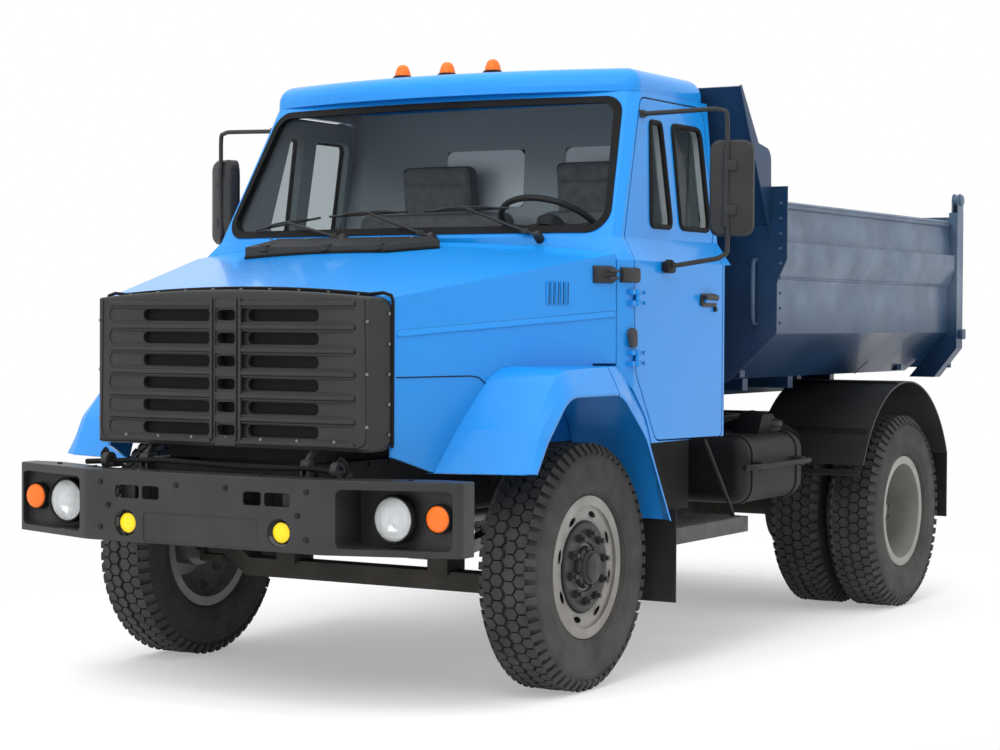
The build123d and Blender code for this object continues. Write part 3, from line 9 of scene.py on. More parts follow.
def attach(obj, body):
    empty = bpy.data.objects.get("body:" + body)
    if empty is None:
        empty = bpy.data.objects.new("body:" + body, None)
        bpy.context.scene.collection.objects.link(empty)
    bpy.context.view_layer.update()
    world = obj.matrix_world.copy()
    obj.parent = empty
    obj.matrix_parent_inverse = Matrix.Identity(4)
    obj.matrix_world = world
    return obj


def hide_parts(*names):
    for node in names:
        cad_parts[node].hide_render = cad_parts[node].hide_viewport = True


bl_info = {
    "name": "Bonneted Tipper Truck",
    "version": (1, 0, 0),
    "blender": (4, 5, 0),
    "location": "View3D > Sidebar > Tipper",
    "description": "Dresses a two-axle bonneted tipper truck around its packed parts",
    "category": "Object",
}

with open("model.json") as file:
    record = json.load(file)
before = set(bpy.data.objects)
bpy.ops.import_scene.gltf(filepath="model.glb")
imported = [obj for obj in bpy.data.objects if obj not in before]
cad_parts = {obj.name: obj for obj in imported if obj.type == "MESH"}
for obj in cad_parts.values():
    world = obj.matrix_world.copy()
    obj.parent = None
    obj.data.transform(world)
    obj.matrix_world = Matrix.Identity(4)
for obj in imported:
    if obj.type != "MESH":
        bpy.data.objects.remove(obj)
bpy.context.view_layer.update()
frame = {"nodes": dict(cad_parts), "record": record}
NODES = frame["nodes"]

# Shapes give places as (x, distance behind the front axle, z) in metres; this is that axle's y.
AXLE_Y = -1.525
HUB_Z = 0.505
REAR_AXLE = 3.3


def at(x, behind, z):
    """A place in the frame from its distance behind the front axle."""
    return Vector((x, AXLE_Y + behind, z))


# ---------------------------------------------------------------- values a user would change
class TipperColours(bpy.types.PropertyGroup):
    """Main colours of the truck"""

    cab: bpy.props.FloatVectorProperty(
        name="Cab", description="Paint of the cab, hood and wings", subtype="COLOR", size=3, min=0, max=1,
        default=(0.006, 0.215, 0.620))
    bed: bpy.props.FloatVectorProperty(
        name="Bed", description="Paint of the tipping bed", subtype="COLOR", size=3, min=0, max=1,
        default=(0.008, 0.030, 0.074))
    rims: bpy.props.FloatVectorProperty(
        name="Rims", description="Paint of the wheel rims", subtype="COLOR", size=3, min=0, max=1,
        default=(0.240, 0.236, 0.225))


class TipperSizes(bpy.types.PropertyGroup):
    """Sizes of the repeated small parts"""

    tread_blocks: bpy.props.IntProperty(
        name="Tread blocks", description="Blocks around each tyre in one row", default=60, min=20, max=90)
    tread_depth: bpy.props.FloatProperty(
        name="Tread depth", description="Height of the tread blocks", default=0.013, min=0.004, max=0.02,
        unit="LENGTH", subtype="DISTANCE")
    wheel_nut: bpy.props.FloatProperty(name="Wheel nut",
                                       description="Width of a wheel nut across its corners", default=0.034,
                                       min=0.02, max=0.05, unit="LENGTH", subtype="DISTANCE")
    front_nuts: bpy.props.IntProperty(
        name="Front nuts", description="Nuts around a front hub", default=10, min=5, max=16)
    rear_nuts: bpy.props.IntProperty(
        name="Rear nuts", description="Nuts around a rear hub", default=8, min=5, max=16)
    bolt_head: bpy.props.FloatProperty(
        name="Bolt head", description="Width of the body's bolt heads", default=0.016, min=0.006, max=0.03,
        unit="LENGTH", subtype="DISTANCE")


# ---------------------------------------------------------------- node trees
def node_adder(tree):
    """Two functions for a tree: one adds a node with settings and inputs, the other a maths node."""
    def add(kind, inputs=None, **settings):
        node = tree.nodes.new(kind)
        for label, value in settings.items():
            setattr(node, label, value)
        for label, value in (inputs or {}).items():
            if isinstance(value, bpy.types.NodeSocket):
                tree.links.new(value, node.inputs[label])
            else:
                node.inputs[label].default_value = value
        return node

    def maths(operation, *values):
        return add("ShaderNodeMath", dict(enumerate(values)), operation=operation).outputs["Value"]

    return add, maths


def new_material(name):
    """A new material with the functions that add its nodes."""
    material = bpy.data.materials.new(name)
    material.use_nodes = True
    return material, *node_adder(material.node_tree)


def show(material, shader):
    """Sends a shader node's result to the material's surface."""
    tree = material.node_tree
    tree.links.new(shader.outputs[0], tree.nodes["Material Output"].inputs["Surface"])
    return material


# ---------------------------------------------------------------- the cab's walls
# height of the waist, half widths there and at the widest, and the rear wall's place and lean
WAIST = 1.86
WAIST_HALF = 1.045
CAB_HALF = 1.12
CAB_REAR = 1.258
CAB_REAR_LEAN = 0.0811


# ---------------------------------------------------------------- finishes
COAT_ROUGHNESS = 0.06
LINING_COLOUR = (0.33, 0.37, 0.39)
PANE_ROUGHNESS = 0.04
PANE_COLOUR = (0.03, 0.033, 0.035, 1)


def inside_cab(add, maths, place):
    """1 on the faces inside the cab's walls, which are lined in grey, and 0 on its outside."""
    split = add("ShaderNodeSeparateXYZ", {0: place})
    across = maths("ABSOLUTE", split.outputs["X"], 0)
    behind = maths("SUBTRACT", split.outputs["Y"], AXLE_Y)
    above = maths("SUBTRACT", split.outputs["Z"], WAIST)
    lower = maths("SUBTRACT", WAIST_HALF, maths("MULTIPLY", above, 0.75))
    upper = maths("SUBTRACT", WAIST_HALF, maths("MULTIPLY", above, 0.125))
    side = maths("MINIMUM", CAB_HALF, maths("MAXIMUM", lower, upper))
    narrow = maths("LESS_THAN", across, maths("SUBTRACT", side, 0.012))
    lean = maths("MULTIPLY", maths("MAXIMUM", above, -0.1), 0.5)
    bow = maths("MULTIPLY", maths("MULTIPLY", across, across), 0.105)
    corner = maths("ADD", maths("MULTIPLY", above, 0.675),
                   maths("SUBTRACT", maths("MULTIPLY", across, 1.1), 0.817))
    screen_line = maths("ADD", maths("ADD", lean, bow), 0.205)
    front = maths("GREATER_THAN", behind, maths("MAXIMUM", screen_line, corner))
    rear_wall = maths("ADD", maths("MULTIPLY", maths("MAXIMUM", above, -0.1), CAB_REAR_LEAN), CAB_REAR)
    rear = maths("LESS_THAN", behind, rear_wall)
    height = maths("MULTIPLY", maths("LESS_THAN", above, 0.660), maths("GREATER_THAN", above, -0.45))
    return maths("MULTIPLY", maths("MULTIPLY", narrow, front), maths("MULTIPLY", rear, height))


def finish(name, colour, rough, metallic=0.0, coat=0.0, grain=(0, 0), mottle=(0, 0), spread=0.0,
           clear=0.0, ior=1.45, dust_and_sheen=(0, 0, 0), dust_and_sheen_colour=(0.30, 0.27, 0.23), wave=(0, 0), edge=0.0,
           lined=False, gloss=0.5):
    """A painted, cast, rubber or lens finish.

    grain and wave are (scale, strength) of a bump, mottle is (scale, change of colour), and dust_and_sheen is
    (most, height where it is thickest, height where it ends) of a colour mixed in by height: real dust low
    down on most finishes, and a painted sheen high up on the bed's sides.
    """
    known = bpy.data.materials.get("tipper_" + name)
    if known:
        return known
    material, add, maths = new_material("tipper_" + name)
    shader = material.node_tree.nodes["Principled BSDF"]
    links = material.node_tree.links
    for label, value in {"Base Color": (*colour, 1), "Roughness": rough, "Metallic": metallic,
                         "Coat Weight": coat, "Coat Roughness": COAT_ROUGHNESS,
                         "Transmission Weight": clear, "IOR": ior, "Specular IOR Level": gloss}.items():
        shader.inputs[label].default_value = value
    place = add("ShaderNodeTexCoord").outputs["Object"]

    def noise(scale, detail):
        return add("ShaderNodeTexNoise", {"Scale": scale, "Detail": detail, "Vector": place}).outputs["Fac"]

    def ranged(source, low, high, to_low, to_high):
        return add("ShaderNodeMapRange", {"Value": source, "From Min": low, "From Max": high,
                                          "To Min": to_low, "To Max": to_high}).outputs["Result"]

    def mixed(base, over, share):
        return add("ShaderNodeMix", {0: share, 6: base or (*colour, 1), 7: (*over, 1)},
                   data_type="RGBA").outputs[2]

    tint = None
    if mottle[1]:
        cloud = noise(mottle[0], 6)
        ramp = add("ShaderNodeValToRGB", {"Fac": cloud})
        for stop, position, change in zip(ramp.color_ramp.elements, (0.3, 0.7), (-mottle[1], mottle[1])):
            stop.position = position
            stop.color = (*[min(1, c * (1 + change)) for c in colour], 1)
        tint = ramp.outputs["Color"]
        if spread:
            links.new(ranged(cloud, 0.25, 0.75, max(0.02, rough - spread), min(1, rough + spread)),
                      shader.inputs["Roughness"])
    # colour mixed in by height: real dust low down on most finishes, and a painted sheen high up on the bed's
    # sides
    if dust_and_sheen[0]:
        height = add("ShaderNodeSeparateXYZ", {0: place}).outputs["Z"]
        height_share = ranged(height, dust_and_sheen[1], dust_and_sheen[2], dust_and_sheen[0], 0)
        patches = ranged(noise(5, 8), 0.35, 0.68, 0.45, 1)
        tint = mixed(tint, dust_and_sheen_colour, maths("MULTIPLY", height_share, patches))
    if lined:
        tint = mixed(tint, LINING_COLOUR, inside_cab(add, maths, place))
    if tint:
        links.new(tint, shader.inputs["Base Color"])
    normal = None
    if edge:
        normal = add("ShaderNodeBevel", {"Radius": edge}, samples=4).outputs["Normal"]
    if grain[1] or wave[1]:
        if wave[1]:
            height = add("ShaderNodeTexWave", {"Scale": wave[0], "Vector": place}).outputs["Fac"]
        else:
            height = noise(grain[0], 3)
        bump = {"Strength": wave[1] or grain[1], "Distance": 0.001, "Height": height}
        if normal:
            bump["Normal"] = normal
        normal = add("ShaderNodeBump", bump).outputs["Normal"]
    if normal:
        links.new(normal, shader.inputs["Normal"])
    return material


def window_glass(name, tint, body):
    """Thin window glass: clear straight on, with a pale sheen and glancing reflections."""
    known = bpy.data.materials.get("tipper_" + name)
    if known:
        return known
    material, add, maths = new_material("tipper_" + name)
    shader = material.node_tree.nodes["Principled BSDF"]
    shader.inputs["Base Color"].default_value = PANE_COLOUR
    shader.inputs["Roughness"].default_value = PANE_ROUGHNESS
    clear = add("ShaderNodeBsdfTransparent", {"Color": (*tint, 1)})
    glance = add("ShaderNodeLayerWeight", {"Blend": 0.5})
    steep = maths("POWER", glance.outputs["Facing"], 3.0)
    lift = add("ShaderNodeMapRange", {"Value": steep, "To Min": body, "To Max": 0.85})
    return show(material, add("ShaderNodeMixShader", {
        "Fac": lift.outputs["Result"], 1: clear.outputs["BSDF"], 2: shader.outputs["BSDF"]}))


FINISHES = {"cab_paint": dict(rough=0.30, coat=0.3, gloss=0.35, lined=True, mottle=(1.2, 0.05), spread=0.05,
                              dust_and_sheen=(0.05, 0.6, 1.4), edge=0.005),
            # bed_paint: its pale bluish mix high on the sides is a painted sheen standing for reflected
            # bright surroundings; bed_paint_shaded is the front wall's copy without it, darker for the shade
            # the cab casts
            "bed_paint": dict(rough=0.40, coat=0.15, gloss=0.3, mottle=(2.2, 0.16), spread=0.1,
                              dust_and_sheen=(0.34, 1.62, 1.42), dust_and_sheen_colour=(0.27, 0.36, 0.46), edge=0.004),
            "bed_paint_shaded": dict(rough=0.40, coat=0.15, gloss=0.3, mottle=(2.2, 0.2), spread=0.1,
                                     dust_and_sheen=(0.10, 1.1, 2.0), edge=0.004),
            "chassis_black": dict(colour=(0.010, 0.010, 0.0102), gloss=0.18, rough=0.5, mottle=(6, 0.3),
                                  grain=(300, 0.15), dust_and_sheen=(0.07, 0.3, 1.3), edge=0.003),
            "black_plastic": dict(colour=(0.020, 0.0205, 0.021), gloss=0.4, rough=0.42, mottle=(5, 0.12),
                                  grain=(500, 0.25), dust_and_sheen=(0.03, 0.5, 1.4), edge=0.004),
            "rubber": dict(colour=(0.008, 0.008, 0.0085), gloss=0.15, rough=0.6, mottle=(8, 0.2),
                           grain=(400, 0.2), dust_and_sheen=(0.12, 0.2, 0.9)),
            "tyre": dict(colour=(0.030, 0.029, 0.028), gloss=0.25, rough=0.72, mottle=(10, 0.25),
                         grain=(250, 0.3), dust_and_sheen=(0.20, 0.0, 1.25), dust_and_sheen_colour=(0.22, 0.212, 0.20)),
            "rim_front": dict(rough=0.42, metallic=0.25, mottle=(9, 0.2), dust_and_sheen=(0.5, 0.2, 0.9),
                              dust_and_sheen_colour=(0.16, 0.13, 0.11)),
            "rim_rear": dict(rough=0.45, mottle=(8, 0.14), dust_and_sheen=(0.35, 0.2, 0.9),
                             dust_and_sheen_colour=(0.22, 0.19, 0.16)),
            "steel": dict(colour=(0.22, 0.22, 0.22), rough=0.38, metallic=0.9, mottle=(12, 0.25),
                          edge=0.002), "cast": dict(colour=(0.020, 0.019, 0.018), gloss=0.15, rough=0.65,
                                                    mottle=(12, 0.3), grain=(200, 0.4),
                                                    dust_and_sheen=(0.3, 0.2, 1.0), edge=0.004),
            "chrome": dict(colour=(0.82, 0.82, 0.82), rough=0.10, metallic=1.0, mottle=(14, 0.04)),
            "clear_glass": dict(colour=(0.86, 0.88, 0.89), rough=0.12, clear=0.62, ior=1.25,
                                wave=(14, 1.0)), "amber": dict(colour=(0.90, 0.16, 0.008), rough=0.22,
                                                               clear=0.15, wave=(40, 0.4)),
            "yellow": dict(colour=(0.95, 0.66, 0.010), rough=0.22, clear=0.1, wave=(40, 0.4)),
            "red": dict(colour=(0.42, 0.01, 0.01), rough=0.22, clear=0.15, wave=(30, 0.5)),
            "seat_cloth": dict(colour=(0.120, 0.123, 0.128), rough=0.88, mottle=(24, 0.2),
                               grain=(700, 0.5)), "trim": dict(colour=(0.050, 0.051, 0.054), gloss=0.15,
                                                               rough=0.55, mottle=(6, 0.1),
                                                               grain=(450, 0.3)),}


def material_of(slot):
    """The finish of one of the record's material slots."""
    if slot == "clear_glass":
        return finish("lens_glass", **FINISHES[slot])
    options = dict(FINISHES[slot])
    colours = bpy.context.scene.tipper_colours
    chosen = {"cab_paint": colours.cab, "bed_paint": colours.bed, "bed_paint_shaded": colours.bed,
              "rim_front": colours.rims, "rim_rear": colours.rims}
    if slot in chosen:
        options["colour"] = tuple(chosen[slot])
    return finish(slot, **options)


# ---------------------------------------------------------------- shapes
def block(bm, low, high):
    """Box between two corners given as (x, behind, z)."""
    a, b = at(*low), at(*high)
    corners = [Vector((x, y, z)) for x in (a.x, b.x) for y in (a.y, b.y) for z in (a.z, b.z)]
    verts = [bm.verts.new(c) for c in corners]
    for face in ((0, 1, 3, 2), (4, 6, 7, 5), (0, 4, 5, 1), (2, 3, 7, 6), (0, 2, 6, 4), (1, 5, 7, 3)):
        bm.faces.new([verts[i] for i in face])


def side_block(bm, side, low, high):
    """Box on one side of the truck between two corners given as (distance from the middle, behind, z)."""
    x0, x1 = sorted((side * low[0], side * high[0]))
    block(bm, (x0, *low[1:]), (x1, *high[1:]))


def flank(side, rows):
    """Places on one side of the truck from (distance from the middle, behind, z) rows."""
    return [at(side * x, behind, z) for x, behind, z in rows]


def between(start, end, steps):
    """Rows of numbers that go from a start to an end in equal steps."""
    return [[a + (b - a) * k / steps for a, b in zip(start, end)] for k in range(steps + 1)]


def prism(bm, corners, along):
    """Flat outline of places swept straight along a vector."""
    along = Vector(along)
    near = [bm.verts.new(c) for c in corners]
    far = [bm.verts.new(Vector(c) + along) for c in corners]
    count = len(corners)
    bm.faces.new(near)
    bm.faces.new(list(reversed(far)))
    for i in range(count):
        bm.faces.new((near[i], far[i], far[(i + 1) % count], near[(i + 1) % count]))


def side_prism(bm, corners, low_x, high_x):
    """Side outline of (behind, z) rows between two x values."""
    prism(bm, [at(low_x, s, z) for s, z in corners], (high_x - low_x, 0, 0))


def cross_prism(bm, corners, behind, depth):
    """Front outline of (x, z) rows, going rearwards by depth."""
    prism(bm, [at(x, behind, z) for x, z in corners], (0, depth, 0))


def loft(bm, rings, caps=True, closed=True):
    """Skin through rings of equally many places."""
    made = [[bm.verts.new(p) for p in ring] for ring in rings]
    count = len(made[0])
    last = count if closed else count - 1
    for low, high in zip(made, made[1:]):
        for i in range(last):
            j = (i + 1) % count
            bm.faces.new((low[i], low[j], high[j], high[i]))
    if caps:
        bm.faces.new(list(reversed(made[0])))
        bm.faces.new(made[-1])


def rounded(points, share=0.22, steps=3):
    """An open run of places with its inner corners softened."""
    points = [Vector(p) for p in points]
    soft = [points[0]]
    for before, corner, after in zip(points, points[1:], points[2:]):
        start = corner.lerp(before, share)
        end = corner.lerp(after, share)
        for i in range(steps + 1):
            t = i / steps
            soft.append(start.lerp(corner, t).lerp(corner.lerp(end, t), t))
    soft.append(points[-1])
    return soft


def pipe(bm, points, radius, sides=12):
    """Round bar or tube along places, with flat ends."""
    points = [Vector(p) for p in points]
    directions = []
    for i in range(len(points)):
        before = points[max(i - 1, 0)]
        after = points[min(i + 1, len(points) - 1)]
        directions.append((after - before).normalized())
    side = directions[0].orthogonal().normalized()
    rings = []
    for point, direction in zip(points, directions):
        side = (side - direction * side.dot(direction)).normalized()
        other = direction.cross(side)
        rings.append([point + (side * math.cos(a) + other * math.sin(a)) * radius
                      for a in (2 * math.pi * k / sides for k in range(sides))])
    loft(bm, rings)


def lathe(bm, rows, centre, axis, segments=64, closed=False):
    """Shape turned about an axis through a centre from (along, radius) rows; radius 0 closes an end."""
    axis = Vector(axis).normalized()
    side = axis.orthogonal().normalized()
    other = axis.cross(side)
    rings = []
    for along, radius in rows:
        if radius == 0:
            rings.append([bm.verts.new(centre + axis * along)])
            continue
        middle = centre + axis * along
        rings.append([bm.verts.new(middle + (side * math.cos(a) + other * math.sin(a)) * radius)
                      for a in (2 * math.pi * k / segments for k in range(segments))])
    if closed:
        rings.append(rings[0])
    for low, high in zip(rings, rings[1:]):
        for i in range(segments):
            j = (i + 1) % segments
            if len(low) == 1 and len(high) == 1:
                continue
            if len(low) == 1:
                bm.faces.new((low[0], high[j], high[i]))
            elif len(high) == 1:
                bm.faces.new((low[i], low[j], high[0]))
            else:
                bm.faces.new((low[i], low[j], high[j], high[i]))


def rounded_box(bm, centre, size, turn=0.0, corner=0.02, steps=4, crown=0.0):
    """Soft box about its centre: its cross-section has round corners and its front face may be domed."""
    half = Vector(size) / 2
    spin = Matrix.Rotation(turn, 3, "Z")
    outline = []
    for cx, cz, start in ((1, 1, 0), (-1, 1, 90), (-1, -1, 180), (1, -1, 270)):
        for k in range(steps + 1):
            a = math.radians(start + 90 * k / steps)
            outline.append((cx * (half.x - corner) + corner * math.cos(a),
                            cz * (half.z - corner) + corner * math.sin(a)))
    rings = []
    for depth, shrink in ((half.y, 0.86), (half.y * 0.97, 0.96), (half.y * 0.7, 1.0), (-half.y * 0.35, 1.0),
                          (-half.y * 0.75, 0.95), (-half.y * 0.95, 0.82), (-half.y - crown, 0.5)):
        rings.append([centre + spin @ Vector((x * shrink, depth, z * shrink)) for x, z in outline])
    loft(bm, rings)


def mirrored(bm):
    """Adds the same shape on the truck's other side."""
    copy = bmesh.ops.duplicate(bm, geom=bm.verts[:] + bm.edges[:] + bm.faces[:])["geom"]
    verts = [g for g in copy if isinstance(g, bmesh.types.BMVert)]
    for vert in verts:
        vert.co.x = -vert.co.x
    bmesh.ops.reverse_faces(bm, faces=[g for g in copy if isinstance(g, bmesh.types.BMFace)])


def placed(name, mesh):
    """Puts a mesh in the scene as an object."""
    obj = bpy.data.objects.new(name, mesh)
    bpy.context.collection.objects.link(obj)
    return obj


def carried(obj, body, slot, replaces):
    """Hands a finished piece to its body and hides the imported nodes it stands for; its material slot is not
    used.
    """
    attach(obj, body)
    if replaces:
        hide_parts(*replaces)
    return obj


def piece(name, bm, body, slot, replaces=(), bevel=0.0, angle=35, material=None, subdivide=0):
    """Finishes a mesh as a piece: welded, faces outwards, its edges eased, riding on a body."""
    bmesh.ops.remove_doubles(bm, verts=bm.verts[:], dist=1e-5)
    bmesh.ops.recalc_face_normals(bm, faces=bm.faces[:])
    mesh = bpy.data.meshes.new(name)
    bm.to_mesh(mesh)
    bm.free()
    mesh.shade_smooth()
    mesh.set_sharp_from_angle(angle=math.radians(angle))
    mesh.materials.append(material or material_of(slot))
    obj = placed(name, mesh)
    if bevel:
        ease = obj.modifiers.new("eased_edges", "BEVEL")
        ease.width = bevel
        ease.segments = 2
        ease.limit_method = "ANGLE"
        ease.angle_limit = math.radians(40)
    if subdivide:
        soft = obj.modifiers.new("soft", "SUBSURF")
        soft.levels = subdivide
        soft.render_levels = subdivide
    return carried(obj, body, slot, replaces)


# ---------------------------------------------------------------- repeated small parts
HEX_SIDES = 6
ROUND_SIDES = 12


def new_group(name, sockets):
    """A geometry node group with its inputs, the functions that add its nodes, and its input sockets."""
    tree = bpy.data.node_groups.new(name, "GeometryNodeTree")
    tree.interface.new_socket("Geometry", in_out="INPUT", socket_type="NodeSocketGeometry")
    for label, kind, default in sockets:
        tree.interface.new_socket(label, in_out="INPUT",
                                  socket_type="NodeSocket" + kind).default_value = default
    tree.interface.new_socket("Finish", in_out="INPUT", socket_type="NodeSocketMaterial")
    tree.interface.new_socket("Geometry", in_out="OUTPUT", socket_type="NodeSocketGeometry")
    add, maths = node_adder(tree)
    return tree, add, maths, add("NodeGroupInput").outputs


def send_out(add, inputs, shape):
    """Sends a shape out of the group as one real mesh in the group's finish."""
    real = add("GeometryNodeRealizeInstances", {"Geometry": shape})
    paint = add("GeometryNodeSetMaterial",
                {"Geometry": real.outputs["Geometry"], "Material": inputs["Finish"]})
    add("NodeGroupOutput", {"Geometry": paint.outputs["Geometry"]})


def item_tree(name, sides):
    """Node group that sets an upright prism on every vertex of its mesh, along the vertices' "facing"."""
    tree, add, maths, inputs = new_group(name, (("Width", "Float", 0.016), ("Height", "Float", 0.008)))
    item = add("GeometryNodeMeshCylinder", {
        "Vertices": sides, "Radius": maths("MULTIPLY", inputs["Width"], 0.5), "Depth": inputs["Height"]})
    facing = add("GeometryNodeInputNamedAttribute", {"Name": "facing"}, data_type="FLOAT_VECTOR")
    align = add("FunctionNodeAlignRotationToVector", {"Vector": facing.outputs["Attribute"]}, axis="Z")
    place = add("GeometryNodeInstanceOnPoints",
                {"Points": inputs["Geometry"], "Instance": item.outputs["Mesh"],
                 "Rotation": align.outputs["Rotation"]})
    send_out(add, inputs, place.outputs["Instances"])
    return tree


def spread(name, tree, places, body, slot, width, height):
    """Sets the tree's item on (place, facing) rows and keeps the result as one plain piece."""
    mesh = bpy.data.meshes.new(name + "_places")
    mesh.from_pydata([tuple(place) for place, direction in places], [], [])
    facing = mesh.attributes.new("facing", "FLOAT_VECTOR", "POINT")
    for row, (place, direction) in zip(facing.data, places):
        row.vector = direction
    seed = placed(name + "_places", mesh)
    return grown(seed, name, tree, body, slot, {"Width": width, "Height": height})


def grown(seed, name, tree, body, slot, values, replaces=()):
    """Runs a node group on a seed object and keeps the result as one plain piece."""
    modifier = seed.modifiers.new("repeat", "NODES")
    modifier.node_group = tree
    sockets = {s.name: s.identifier for s in tree.interface.items_tree
               if s.item_type == "SOCKET" and s.in_out == "INPUT"}
    for label, value in values.items():
        modifier[sockets[label]] = value
    modifier[sockets["Finish"]] = material_of(slot)
    depsgraph = bpy.context.evaluated_depsgraph_get()
    mesh = bpy.data.meshes.new_from_object(seed.evaluated_get(depsgraph))
    seed.modifiers.remove(modifier)
    bpy.data.objects.remove(seed)
    mesh.name = name
    if not mesh.polygons:
        raise RuntimeError(name + " came out empty")
    mesh.shade_smooth()
    mesh.set_sharp_from_angle(angle=math.radians(30))
    if not mesh.materials:
        mesh.materials.append(material_of(slot))
    return carried(placed(name, mesh), body, slot, replaces)


def dress(node, material):
    """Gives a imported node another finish."""
    obj = NODES[node]
    obj.data.materials.clear()
    obj.data.materials.append(material)


# ---------------------------------------------------------------- wheels
SIDES = ((1, "left"), (-1, "right"))
TYRE_RADIUS = 0.505
FRONT_HUB_X = 0.965
REAR_HUB_X = 0.925
FRONT_NUT_CIRCLE = 0.138
REAR_NUT_CIRCLE = 0.142
TYRES = {
    "tyre_front_left": ("wheel_front_left", ((FRONT_HUB_X, 0.0),)),
    "tyre_front_right": ("wheel_front_right", ((-FRONT_HUB_X, 0.0),)),
    "tyres_rear_left": ("wheels_rear_left", ((0.766, REAR_AXLE), (1.084, REAR_AXLE))),
    "tyres_rear_right": ("wheels_rear_right", ((-0.766, REAR_AXLE), (-1.084, REAR_AXLE))),
}


def tread_tree():
    """Node group that puts staggered tread blocks and shoulder lugs round a tyre lying about the X axis."""
    tree, add, maths, inputs = new_group(
        "tread", (("Blocks", "Int", 60), ("Radius", "Float", TYRE_RADIUS), ("Depth", "Float", 0.013)))
    join = add("GeometryNodeJoinGeometry", {"Geometry": inputs["Geometry"]})

    def ring(item, across, phase, drop, tilt):
        """Items on a circle at a place across the tyre, turned by phase, sunk by drop, leaned by tilt."""
        circle = add("GeometryNodeMeshCircle", {
            "Vertices": inputs["Blocks"], "Radius": maths("SUBTRACT", inputs["Radius"], drop)})
        turn = add("GeometryNodeTransform", {
            "Geometry": circle.outputs["Mesh"], "Rotation": (0, math.radians(90), 0)})
        roll = add("GeometryNodeTransform", {
            "Geometry": turn.outputs["Geometry"], "Rotation": (math.radians(phase), 0, 0),
            "Translation": (across, 0, 0)})
        spot = add("GeometryNodeInputPosition")
        flat = add("ShaderNodeVectorMath", {0: spot.outputs["Position"], 1: (0, 1, 1)},
                   operation="MULTIPLY")
        align = add("FunctionNodeAlignRotationToVector", {"Vector": flat.outputs["Vector"]},
                    axis="Z", pivot_axis="X")
        lean = add("FunctionNodeRotateRotation",
                   {"Rotation": align.outputs["Rotation"], "Rotate By": (0, math.radians(tilt), 0)},
                   rotation_space="LOCAL")
        place = add("GeometryNodeInstanceOnPoints", {
            "Points": roll.outputs["Geometry"], "Instance": item.outputs["Mesh"],
            "Rotation": lean.outputs["Rotation"]})
        real = add("GeometryNodeRealizeInstances", {"Geometry": place.outputs["Instances"]})
        tree.links.new(real.outputs["Geometry"], join.inputs["Geometry"])

    def six_sided(width):
        return add("GeometryNodeMeshCylinder", {
            "Vertices": HEX_SIDES, "Radius": width / 2, "Depth": inputs["Depth"]})

    middle = six_sided(0.054)
    ring(middle, 0.028, 0, 0.0065, 4)
    ring(middle, -0.028, 3, 0.0065, -4)
    edge = six_sided(0.050)
    ring(edge, 0.074, 3, 0.009, 10)
    ring(edge, -0.074, 0, 0.009, -10)
    shoulder = add("GeometryNodeMeshCube", {"Size": (0.050, 0.030, 0.026)})
    ring(shoulder, 0.106, 0, 0.026, 52)
    ring(shoulder, -0.106, 3, 0.026, -52)
    send_out(add, inputs, join.outputs["Geometry"])
    return tree


def carcass():
    """Tyre body about the X axis at the origin, with bead, sidewall ribs and grooved crown."""
    bm = bmesh.new()
    half = [
        (0.090, 0.2625), (0.0905, 0.289), (0.104, 0.296), (0.112, 0.303), (0.1145, 0.309), (0.117, 0.310),
        (0.1185, 0.316), (0.124, 0.345), (0.1265, 0.352), (0.1275, 0.358), (0.1265, 0.364), (0.1275, 0.385),
        (0.1275, 0.405), (0.1255, 0.430), (0.1275, 0.434), (0.1270, 0.440), (0.122, 0.452), (0.117, 0.466),
        (0.104, 0.484), (0.086, 0.4915), (0.052, 0.4925), (0.050, 0.4885), (0.046, 0.4885), (0.044, 0.4925),
        (0.004, 0.4925), (0.002, 0.489),
    ]
    rows = [(-x, r) for x, r in half] + [(x, r) for x, r in reversed(half)]
    lathe(bm, rows, Vector((0, 0, 0)), (1, 0, 0), 72, closed=True)
    return bm


class TIPPER_OT_tyres(bpy.types.Operator):
    """Makes the six cross-ply tyres with their tread blocks"""

    bl_idname = "tipper.tyres"
    bl_label = "Tyres"

    def execute(self, context):
        sizes = context.scene.tipper_sizes
        tree = tread_tree()
        for node, (body, centres) in TYRES.items():
            seeds = bmesh.new()
            bm = carcass()
            bmesh.ops.recalc_face_normals(bm, faces=bm.faces[:])
            mesh = bpy.data.meshes.new("carcass")
            bm.to_mesh(mesh)
            bm.free()
            seed = placed("carcass", mesh)
            obj = grown(seed, node + "_dressed", tree, body, "tyre",
                        {"Blocks": sizes.tread_blocks, "Radius": TYRE_RADIUS, "Depth": sizes.tread_depth},
                        (node,))
            for x, behind in centres:
                copy = obj.data.copy()
                copy.transform(Matrix.Translation(at(x, behind, HUB_Z)) @ Matrix.Rotation(0.3 * x, 4, "X"))
                seeds.from_mesh(copy)
            seeds.to_mesh(obj.data)
            seeds.free()
            obj.data.shade_smooth()
            obj.data.set_sharp_from_angle(angle=math.radians(28))
        return {"FINISHED"}


def wheel_facings(x, behind, radius, count, along, side):
    """Places and directions of fasteners on a ring round an axle's end."""
    return [(at(x + side * along, behind, HUB_Z) + Vector((0, radius * math.cos(a), radius * math.sin(a))),
             Vector((side, 0, 0))) for a in (2 * math.pi * (k + 0.3) / count for k in range(count))]


# the oval hand holes: how many, the circle they lie on, and half their size outwards and along it
HAND_HOLES = 8
HOLE_CIRCLE = 0.218
HOLE_RISE = 0.0165
HOLE_HALF = 0.034


